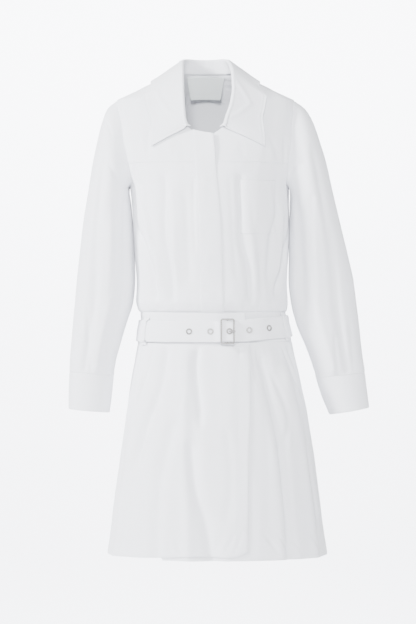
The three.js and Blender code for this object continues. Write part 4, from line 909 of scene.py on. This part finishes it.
def yoke_grid(side, front_edge, corner):
    low = YOKE - TUCK
    turn = np.linspace(0, math.pi, 400)
    z = rim_level(turn)
    rim = np.stack([side * side_edge(z), z], axis=-1)
    outer = rim[z >= low][::-1]
    outer = np.concatenate([[[side * side_edge(low), low]], outer])
    neck_z = np.linspace(NECKLINE[0][0], NECKLINE[-1][0], 80)
    neck = [(side * abs(front_angle(side * neckline_half(z), z)), z) for z in neck_z]
    inner = dense_domain([(front_edge, low), *corner, *neck, (side * (90 - SIDE_GAP), BACK_NECK)])
    bottom = dense_domain([(front_edge, low), tuple(outer[0])])
    top = dense_domain([(side * (90 - SIDE_GAP), BACK_NECK), tuple(outer[-1])])
    places = patch(bottom, top, inner, outer, spaced(YOKE_WIDTH, STEP), spaced(YOKE_LENGTH, STEP))[::-1]
    return body_grid(places[..., 0], places[..., 1], tuck(YOKE - places[..., 1]))


yoke_corners = {
    "left": [(FRONT_EDGE["left"], NECK_CORNER["left"]), NECK_POINT],
    "right": [(FRONT_EDGE["right"], NECK_CORNER["right"])],
}
for name, side in (("left", 1), ("right", -1)):
    grid = yoke_grid(side, FRONT_EDGE[name], yoke_corners[name])
    edges = panel_edges(grid, top="plain", last="seam")
    cloth_piece(f"front_yoke_{name}", grid, cotton, edges, side=side * -1)


def back_grid():
    shoulder = levels(BACK_NECK, ARMHOLE_TOP, 100, BACK_STEP, end=False)
    below = levels(ARMHOLE_TOP, WAIST - TUCK, 150, BACK_STEP, start=False)[1:]
    rows = with_armhole(np.concatenate([shoulder, below]), ARMHOLE_BOTTOM - 1, ARMHOLE_TOP)[:, None]
    edge = 180 - side_edge(rows)
    share = spaced(BACK_WIDTH, BACK_STEP)[None, :]
    angles = edge * (1 - share) + (360 - edge) * share
    rows = np.broadcast_to(rows, angles.shape)
    return body_grid(angles, rows, tuck(WAIST - rows))


grid = back_grid()
armhole_part = grid[:, 0][:, 2] > ARMHOLE_BOTTOM
back_edges = [(grid[armhole_part, j], "seam") for j in (0, -1)]
cloth_piece("back", grid, cotton, back_edges, side=-1)


def placket_grid():
    rows = levels(NECK_POINT[1], WAIST, 2, SMALL_STEP)[:, None]
    across = spaced(PLACKET_WIDTH, SMALL_STEP / 1.5)[None, :]
    stand, low, high = PLACKET_GAPE
    gape = stand * across**2 * smoothly(rows, low, high)
    buttons = HIDDEN_BUTTONS
    sideways = (across - buttons["across"]) * PLACKET_WIDTH / buttons["radius"]
    for level in buttons["levels"]:
        away = ((rows - level) / buttons["radius"]) ** 2 + sideways**2
        gape = gape + buttons["rise"] * np.exp(-(away**2))
    slope = PLACKET_SLOPE * (1 - across) * (1 - smoothly(NECK_POINT[1] - rows, 0, 12))
    angles = PLACKET_INNER * (1 - across) + placket_edge(rows) * across
    return body_grid(angles, rows + slope, SOLID_CLOTH + LAY + gape)


grid = placket_grid()
cloth_piece("placket", grid, cotton, panel_edges(grid, last="pressed", first="pressed"), side=-1)


def pocket_grid():
    angles = POCKET["inner"] + spaced(POCKET_WIDTH, 2.2) * (POCKET["outer"] - POCKET["inner"])
    rows = levels(POCKET["top"], POCKET["bottom"], 35, SMALL_STEP)[:, None]
    angles, rows = np.broadcast_arrays(angles[None, :], rows)
    return body_grid(angles, rows, SOLID_CLOTH + LAY)


grid = pocket_grid()
edges = panel_edges(grid, first="pressed", last="pressed", bottom="pressed")
cloth_piece("pocket", grid, cotton, edges, side=-1)


HEM_DEPTH = 42  # the hem is turned up this far, and sewn there


def hem_line(grid, depth):
    """The line a given length above the lower edge of a grid."""
    line = []
    for column in grid.transpose(1, 0, 2):
        run = lengths(column[::-1])
        line.append([np.interp(depth, run, axis) for axis in column[::-1].T])
    return np.array(line)


def skirt_right_grid():
    rows = levels(SKIRT_TOP + TUCK, HEM_LEVEL, -20, STEP)
    share = spaced(SKIRT_RIGHT_WIDTH, STEP)[None, :]
    level = (rows - rows[0]) / (rows[-1] - rows[0])
    low_edge = skirt_edge(HEM_LEVEL)
    hem = hem_right((-90 + SIDE_GAP) * (1 - share) + low_edge * share)
    z = rows[0] + level[:, None] * (hem - rows[0])
    angles = (-90 + SIDE_GAP) * (1 - share) + skirt_edge(z) * share
    return body_grid(angles, z, tuck(z - SKIRT_TOP))


def skirt_left_grid():
    rows = levels(SKIRT_TOP + TUCK, HEM_LEVEL, 40, STEP)[:, None]
    angles = SKIRT_LEFT_EDGE + spaced(SKIRT_LEFT_WIDTH, STEP)[None, :] * (90 - SIDE_GAP - SKIRT_LEFT_EDGE)
    angles, rows = np.broadcast_arrays(angles, rows)
    under = -(SOLID_CLOTH + UNDERLAP) * (1 - smoothly(angles, UNDERLAP_END, UNDERLAP_OUT))
    return body_grid(angles, rows, under + tuck(rows - SKIRT_TOP))


def skirt_back_grid():
    rows = levels(SKIRT_TOP + TUCK, HEM_LEVEL, 180, BACK_STEP)[:, None]
    angles = 90 + SIDE_GAP + spaced(SKIRT_BACK_WIDTH, BACK_STEP)[None, :] * (180 - 2 * SIDE_GAP)
    angles, rows = np.broadcast_arrays(angles, rows)
    return body_grid(angles, rows, tuck(rows - SKIRT_TOP))


for name, grid, sides in (
    ("skirt_front_right", skirt_right_grid(), {"first": "plain", "last": "pressed"}),
    ("skirt_front_left", skirt_left_grid(), {"last": "plain"}),
    ("skirt_back", skirt_back_grid(), {"first": "plain", "last": "plain"}),
):
    edges = panel_edges(grid, bottom="pressed", **sides)
    edges.append((hem_line(grid, HEM_DEPTH), "hem"))
    cloth_piece(name, grid, cotton, edges, side=-1)


def waistband_grid():
    rows = levels(WAIST - SEAM, SKIRT_TOP, 0, 3.5)[:, None]
    turns = (360 + WAISTBAND_OVER - WAISTBAND_UNDER) / 1.0
    angles = WAISTBAND_OVER - np.linspace(0, 1, int(turns))[None, :] * turns
    angles, rows = np.broadcast_arrays(angles, rows)
    lift = (SOLID_CLOTH + LAY) * smoothly(angles, -52.5, WAISTBAND_UNDER - 7.5)
    return body_grid(angles, rows, lift)


grid = waistband_grid()
edges = panel_edges(grid, top="pressed", bottom="pressed")
cloth_piece("waistband", grid, cotton, edges, side=1)


def ring_points(ring, turn):
    """Points of a ring whose outer and inner ends are seen from the front, at turns round it."""
    outer_x, outer_z, inner_x, inner_z, depth, y = ring
    middle = np.array([(outer_x + inner_x) / 2, y, (outer_z + inner_z) / 2])
    reach = np.array([(outer_x - inner_x) / 2, 0, (outer_z - inner_z) / 2])
    points = middle + reach * np.cos(turn)[:, None]
    points[:, 1] -= depth * np.sin(turn)
    return points, middle


def sleeve_fold_height(turn, share):
    lift = np.zeros(turn.shape)
    for middle, start, end, depth, width, drift in SLEEVE_FOLDS:
        off = (turn - middle - drift * share + 180) % 360 - 180
        left = min(share - start, end - share)
        lift += depth * np.exp(-2 * (off / width) ** 2) * smoothly(left, 0, SLEEVE_FOLD_FADE)
    return lift


sleeve_ripple = Noise(5)


def sleeve_grid(rings, side, step=BACK_STEP):
    """Rings from the armhole down, pushed in and out by the folds."""
    turn = np.linspace(0, math.tau, 120, endpoint=False)
    z = rim_level(turn)
    sign = np.where(turn <= math.pi, -1, 1)
    rim_angle = side * (90 + sign * armhole_reach(z))
    rim = skin(rim_angle, z)
    top, bottom = skin(side * 90, ARMHOLE_TOP), skin(side * 90, ARMHOLE_BOTTOM)
    first = (top[0], top[2], bottom[0], bottom[2], ARMHOLE_DEPTH, ARM_MIDDLE_Y[0])
    plain, middle = ring_points(first, turn)
    rim = rim + unit(middle - rim) * SEAM + skin_normal(rim_angle, z) * SEAM
    bends = rim - plain
    last = len(rings) - 1
    table = [(-1, *first[:5], 1.0, ARM_MIDDLE_Y[0])]
    for i, row in enumerate(rings):
        y = ARM_MIDDLE_Y[0] + (ARM_MIDDLE_Y[1] - ARM_MIDDLE_Y[0]) * i / last
        table.append((i, *row, y))
    outer_x, outer_z, inner_x, inner_z, depth, _ = rings[-1]
    past = (outer_x, outer_z - TUCK, inner_x, inner_z - TUCK, depth - 0.6, 0, ARM_MIDDLE_Y[1])
    table.append((last + 0.1, *past))
    columns = [curve(table, column) for column in range(1, 8)]
    places = -1 + spaced(SLEEVE_LENGTH, step) * (last + 1.1)
    under_body = rim + unit(rim - middle) * TUCK - skin_normal(rim_angle, z) * TUCK_DEPTH
    rows = [under_body]
    for place in places:
        *ring, armhole, y = [float(column(place)) for column in columns]
        points, centre = ring_points((*ring, y), turn)
        points = points + bends * armhole
        share = max(place / last, 0)
        lift = sleeve_fold_height(np.degrees(turn), share)
        lift = lift + smoothly(place, -1, 1) * sleeve_ripple(np.degrees(turn) / 18, share * 5 + side * 9)
        calm = smoothly(-np.cos(turn), *SLEEVE_CALM)
        lift = np.minimum(lift, lift * (1 - calm))
        to_cuff = (last - place) * SLEEVE_LENGTH / (last + 1)
        lift = lift * smoothly(to_cuff, -3, 22) + tuck(-to_cuff)
        from_rim = (place + 1) * SLEEVE_LENGTH / (last + 1)
        sunk = -1.1 * math.exp(-((from_rim / 2.2) ** 2))
        beside = smoothly(from_rim, 25, 60) * (1 - smoothly(place, *SLEEVE_LEAVES))
        lift = lift + SLEEVE_LEAN * beside * calm
        rows.append(points + unit(points - centre) * lift[:, None] + skin_normal(rim_angle, z) * sunk)
    return np.array(rows)


def front_creases(grid, creases):
    """Height of creases drawn as (x, z) places on the side that faces the front."""
    lift = np.zeros(grid.shape[:2])
    for places, depth, width in creases:
        line = np.array([(x, 0, z) for x, z in places], float)
        away = distance_to(grid * np.array([1, 0, 1]), line)
        lift += depth * np.exp(-2 * (away / width) ** 2) * smoothly(-grid[..., 1], -4, 12)
    return lift


def cuff_point(rings, place, turn, lift):
    table = [(i, *row, ARM_MIDDLE_Y[1]) for i, row in enumerate(rings)]
    ring = [float(curve(table, column)(place)) for column in range(1, 7)]
    points, centre = ring_points(ring, turn)
    return points + unit(points - centre) * np.asarray(lift)[:, None]


def cuff_grid(rings):
    share = spaced(CUFF_ROUND, SMALL_STEP)
    turn = np.radians(CUFF_START + share * (360 + CUFF_OVERLAP))
    lift = -(SOLID_CLOTH + LAY) * (1 - smoothly(share, *CUFF_STEP))
    places = spaced(CUFF_LENGTH, 2.6) * (len(rings) - 1)
    return np.array([cuff_point(rings, place, turn, lift) for place in places])


for name, rings, cuff_rings, side in (
    ("left", SLEEVE_LEFT, CUFF_LEFT, 1),
    ("right", SLEEVE_RIGHT, CUFF_RIGHT, -1),
):
    grid = sleeve_grid(rings, side)
    grid = grid + grid_normals(grid, wrap=True) * side * front_creases(grid, SLEEVE_CREASES[name])[..., None]
    cloth_piece(f"sleeve_{name}", grid, cotton, side=side, wrap=True)
    grid = cuff_grid(cuff_rings)
    edges = panel_edges(grid, top="lapped", bottom="double", last="pressed")
    cloth_piece(f"cuff_{name}", grid, cotton, edges, side=side, thick=SOLID_CLOTH)


def clear_of_body(points, gap):
    """Moves points out until they lie at least gap over the body."""
    for _ in range(5):
        z = points[..., 2]
        x = (points[..., 0] - body_shift(z)) / body_half(z)
        y = points[..., 1] / np.where(points[..., 1] < 0, body_front(z), body_back(z))
        power = SECTION_POWER / 2
        angle = np.degrees(np.arctan2(np.sign(x) * np.abs(x) ** power, -np.sign(y) * np.abs(y) ** power))
        normal = skin_normal(angle, z)
        height = ((points - skin(angle, z)) * normal).sum(axis=-1)
        points = points + normal * np.maximum(gap - height, 0)[..., None]
    return points


collar_columns = [curve(COLLAR, column) for column in range(2, 8)]
collar_front_level = curve([*[row[:2] for row in COLLAR[:COLLAR_BACK]], (COLLAR_BACK, BACK_NECK)])
collar_back_angle = curve([row[:2] for row in COLLAR[COLLAR_BACK:]])
STAND_STEPS = np.linspace(0, 1, 7)[:-1]
ROLL_STEPS = np.radians(np.linspace(180, 0, 11))
LEAF_STEPS = spaced(LEAF_WIDTH, 2.8, start=False)[1:]


def collar_half(u, side):
    """The collar's outer face from its front end to the middle of the back, a row for each place u."""
    fold_left, fold_right, fold_y, fold_z, edge_angle, edge_z = [column(u) for column in collar_columns]
    at_back = u >= COLLAR_BACK
    z = np.where(at_back, BACK_NECK, collar_front_level(u))
    in_front = np.abs(front_angle(side * neckline_half(z), z))
    foot = skin(side * np.where(at_back, collar_back_angle(u), in_front), z)
    fold = np.stack([fold_left if side > 0 else fold_right, fold_y, fold_z], axis=-1)
    edge = on_body(side * edge_angle, edge_z, np.full_like(u, COLLAR_CLEAR))
    rise = unit(fold - foot)
    fall = edge - fold
    out = unit(fall - rise * (fall * rise).sum(axis=-1, keepdims=True))
    foot = foot - out * (COLLAR_WALL + COLLAR_FOOT) + rise * COLLAR_FOOT
    centre = fold + (out - rise) * COLLAR_ROLL
    turn = ROLL_STEPS[None, :, None]
    roll = centre[:, None] + (out[:, None] * np.cos(turn) + rise[:, None] * np.sin(turn)) * COLLAR_ROLL
    stand = foot[:, None] + (roll[:, :1] - foot[:, None]) * STAND_STEPS[None, :, None]
    leaf = roll[:, -1:] + (edge[:, None] - roll[:, -1:]) * LEAF_STEPS[None, :, None]
    return np.concatenate([stand, roll, clear_of_body(leaf, COLLAR_CLEAR)], axis=1)


half_places = spaced(COLLAR_HALF_LENGTH, 3.0, end=False) * COLLAR[-1][0]
grid = np.concatenate([collar_half(half_places, 1), collar_half(half_places[-2::-1], -1)])
leaf = np.arange(grid.shape[1]) >= len(STAND_STEPS) + len(ROLL_STEPS)
grid = grid - grid_normals(grid) * (front_creases(grid, COLLAR_CREASES) * leaf)[..., None]
edges = panel_edges(grid, last="double", top="double", bottom="double")
cloth_piece("collar", grid, cotton, edges, thick=COLLAR_WALL, side=-1)


def label_grid():
    across = np.linspace(-1, 1, 33)
    rows = []
    x_top = across * LABEL["half_top"]
    seam_angle = 180 - front_angle(x_top, LABEL["top"])
    seam = on_body(seam_angle, np.full(len(across), LABEL["top"]), np.full(len(across), -2.6))
    for down in np.linspace(0, 1, 19):
        x = across * (LABEL["half_top"] * (1 - down) + LABEL["half_bottom"] * down)
        z = seam[:, 2] * (1 - down) + LABEL["bottom"] * down + LABEL["arch"] * down * (1 - across**2)
        y = seam[:, 1] + LABEL["hang"] * down
        rows.append(np.stack([x, y, z], axis=-1))
    return np.array(rows)


grid = label_grid()
cloth_piece("neck_label", grid, label_tape, panel_edges(grid, top="pressed", bottom="plain"), side=1,
            thick=LABEL["wall"])


def full_turn(angle):
    return (np.asarray(angle, float) + 180) % 360 - 180


buckle_out = skin_normal(BUCKLE_ANGLE, belt_level(BUCKLE_ANGLE))
buckle_out = unit(buckle_out * np.array([1, 1, 0]))
buckle_across = np.array([-buckle_out[1], buckle_out[0], 0])
buckle_middle = on_body(BUCKLE_ANGLE, belt_level(BUCKLE_ANGLE))


def strap_lift(place):
    past = np.asarray(place, float) + 360
    climb = 1 - smoothly(past, *BELT_RISE)
    way = (skin(past, belt_level(full_turn(past))) - buckle_middle) @ buckle_across
    raised = np.where(past < 90, 1 - smoothly(np.abs(way), *STRAP_RAISED), 0)
    return BELT_UNDER + (BELT_OVER - BELT_UNDER) * climb + STRAP_RAISE * raised


def strap_point(place, down=0.0, lift=0.0):
    place = np.asarray(place, float)
    angle = full_turn(place)
    return on_body(angle, belt_level(angle) - down, strap_lift(place) + lift)


def strap_grid():
    tip_steps = BELT_TIP - 360 + np.array([0, 0.15, 0.4, 0.8, 1.3, 2, 2.8, 3.8, 5, 6.4])
    places = np.concatenate([np.arange(BELT_START, BELT_TIP - 360 + 7.4, -1.0), tip_steps[::-1]])
    across = spaced(2 * BELT_HALF, 2.2) * 2 - 1
    tip = strap_point(BELT_TIP - 360)
    left = np.linalg.norm(strap_point(places) - tip, axis=-1)
    left = np.where(places < -360, left, BELT_TIP_ROUND)
    bend = np.clip(1 - left / BELT_TIP_ROUND, 0, 1)
    height = BELT_HALF * (BELT_TIP_BLUNT + (1 - BELT_TIP_BLUNT) * np.sqrt(1 - bend**2))
    down = across[:, None] * height[None, :]
    place = np.broadcast_to(places, down.shape)
    return strap_point(place, down)


grid = strap_grid()
edges = panel_edges(grid, top="pressed", bottom="pressed", last="pressed")
cloth_piece("belt_strap", grid, belt_cotton, edges, thick=BELT_WALL, side=1)


def loop_grid(angle, half, over):
    middle = float(belt_level(angle))
    top = BELT_HALF + LOOP_REACH
    low = LOOP_WALL + 3 * LAY
    high = over + LAY + LOOP_WALL
    upper = [(top, low)] + [(BELT_HALF + past, max(high - under, low)) for past, under in LOOP_BEND]
    stops = upper + [(0, high)] + [(-up, lift) for up, lift in reversed(upper)]
    lift = curve(stops)
    up = np.linspace(top, -top, 60)[:, None]
    angles = angle + np.linspace(-1, 1, 13)[None, :] * half
    angles, up = np.broadcast_arrays(angles, up)
    return body_grid(angles, middle + up, lift(up))


for name, angle, half, over in LOOPS:
    grid = loop_grid(angle, half, over)
    edges = panel_edges(grid, first="pressed", last="pressed")
    cloth_piece(name, grid, cotton, edges, thick=LOOP_WALL, side=-1)

NEAR = 1.8  # rows of stitches this far inside a sewn edge, and inside a pressed one
PRESSED = 1.6
SECOND = 7
YOKE_ROW = 6
BELT_ROW = 2.2
POCKET_TURN = 14
LOW_HEM_ROW = 5
FACING_ROW = 24
HEM_ROWS = (("bottom", LOW_HEM_ROW), ("bottom", HEM_DEPTH - PRESSED))
CUFF_ROWS = (("top", NEAR), ("bottom", NEAR), ("bottom", SECOND), ("last", NEAR))
BOTH_SIDES = (("first", PRESSED), ("last", PRESSED))
STITCH_ROWS = {
    "front_yoke_left": (("top", NEAR), ("last", YOKE_ROW)),
    "front_yoke_right": (("top", NEAR), ("last", YOKE_ROW)),
    "front_left": (("top", NEAR),),
    "front_right": (("top", NEAR),),
    "placket": BOTH_SIDES[::-1],
    "pocket": (*BOTH_SIDES, ("bottom", PRESSED), ("top", POCKET_TURN)),
    "skirt_front_right": (*HEM_ROWS, ("last", PRESSED), ("last", FACING_ROW)),
    "skirt_front_left": HEM_ROWS,
    "skirt_back": HEM_ROWS,
    "waistband": (("top", NEAR), ("bottom", NEAR)),
    "collar": (("last", NEAR), ("last", SECOND), ("top", NEAR), ("bottom", NEAR)),
    "cuff_left": CUFF_ROWS,
    "cuff_right": CUFF_ROWS,
    "neck_label": (("top", 1.2),),
    "belt_loop_left": BOTH_SIDES,
    "belt_loop_right": BOTH_SIDES,
}
for name, rows in STITCH_ROWS.items():
    lines = [inset(name, side, distance, 1.5) for side, distance in rows]
    if name == "skirt_front_right":
        lines += [surface_row(places, 0.1) for places in SKIRT_FLY]
    stitches(name, lines)
belt_rows = [inset("belt_strap", side, BELT_ROW, 3) for side in ("top", "bottom")]
stitches("belt_strap", belt_rows)

hard_nodes = {
    pearl: ("cuff_button_left", "cuff_button_right"),
    nickel: ("buckle_frame", "buckle_prong", *[f"eyelet_{i}" for i in range(1, 6)]),
}
for material, nodes in hard_nodes.items():
    for node in nodes:
        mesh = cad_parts[node].data
        mesh.materials.clear()
        mesh.materials.append(material)


def stage_material(name, color):
    material = bpy.data.materials.new(name)
    material.use_nodes = True
    shader = material.node_tree.nodes["Principled BSDF"]
    shader.inputs["Base Color"].default_value = (*color, 1)
    shader.inputs["Roughness"].default_value = 0.9
    return material


FLOOR_LEVEL = -2250  # well below the hem, as the dress is held at its shoulders
WALL_Y = 6000
WALL_TOP = 4000
STUDIO_HALF = 7000
WALL_BEND = 600


def backdrop():
    """Floor that curves up into a wall far behind the dress."""
    turn = np.radians(np.arange(7.5, 90, 7.5))
    start = WALL_Y - WALL_BEND
    bend = [(start + WALL_BEND * math.sin(t), FLOOR_LEVEL + WALL_BEND * (1 - math.cos(t))) for t in turn]
    profile = [(-STUDIO_HALF, FLOOR_LEVEL), (start, FLOOR_LEVEL), *bend]
    profile += [(WALL_Y, FLOOR_LEVEL + WALL_BEND), (WALL_Y, WALL_TOP)]
    points = [(x, y, z) for y, z in profile for x in (-STUDIO_HALF, STUDIO_HALF)]
    faces = [(2 * i, 2 * i + 1, 2 * i + 3, 2 * i + 2) for i in range(len(profile) - 1)]
    piece = mesh_object("backdrop", points, faces, stage_material("paper", (0.9, 0.9, 0.93)))
    piece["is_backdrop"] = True
    return piece


backdrop()


def area_light(name, place, target, size, power, color=(0.965, 0.98, 1)):
    light = bpy.data.lights.new(name, "AREA")
    light.shape = "RECTANGLE"
    light.size, light.size_y = size
    light.energy = power
    light.color = color
    piece = bpy.data.objects.new(name, light)
    piece.location = Vector(place)
    piece.rotation_euler = (Vector(target) - Vector(place)).to_track_quat("-Z", "Y").to_euler()
    piece.visible_camera = False
    bpy.context.scene.collection.objects.link(piece)


# Lamps in metres: place, target, size, power.
LAMPS = {
    "key": ((-3.5, -1.6, 1.4), (0, 0, -0.45), (0.7, 0.7), 520),
    "front": ((-0.3, -4.3, 1.2), (0, 0, -0.3), (0.9, 0.9), 330),
    "fill": ((2.8, -2.8, 0.3), (0, 0, -0.45), (2.6, 2.6), 95),
    "back": ((-2.6, 3.2, 1.2), (0, 0, -0.45), (1.2, 1.2), 30),
    "backdrop_light": ((0, 3.6, 1.6), (0, 6, -1.4), (7.0, 2.0), 1250),
}
for name, lamp in LAMPS.items():
    area_light(name, *lamp)

world = bpy.data.worlds.new("studio")
world.use_nodes = True
world.node_tree.nodes["Background"].inputs["Color"].default_value = (1, 1, 1.01, 1)
world.node_tree.nodes["Background"].inputs["Strength"].default_value = 0.8
bpy.context.scene.world = world

CAMERA_PLACE = (0.0048, -4.0, -0.453)
CAMERA_LENS = 120.2
lens = bpy.data.cameras.new("camera")
lens.lens = CAMERA_LENS
camera = bpy.data.objects.new("camera", lens)
camera.location = CAMERA_PLACE
camera.rotation_euler = (math.pi / 2, 0, 0)
bpy.context.scene.collection.objects.link(camera)
bpy.context.scene.camera = camera

boxes = {"cad": [list(corner) for corner in cad_box], "visual": [list(corner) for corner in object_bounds()]}
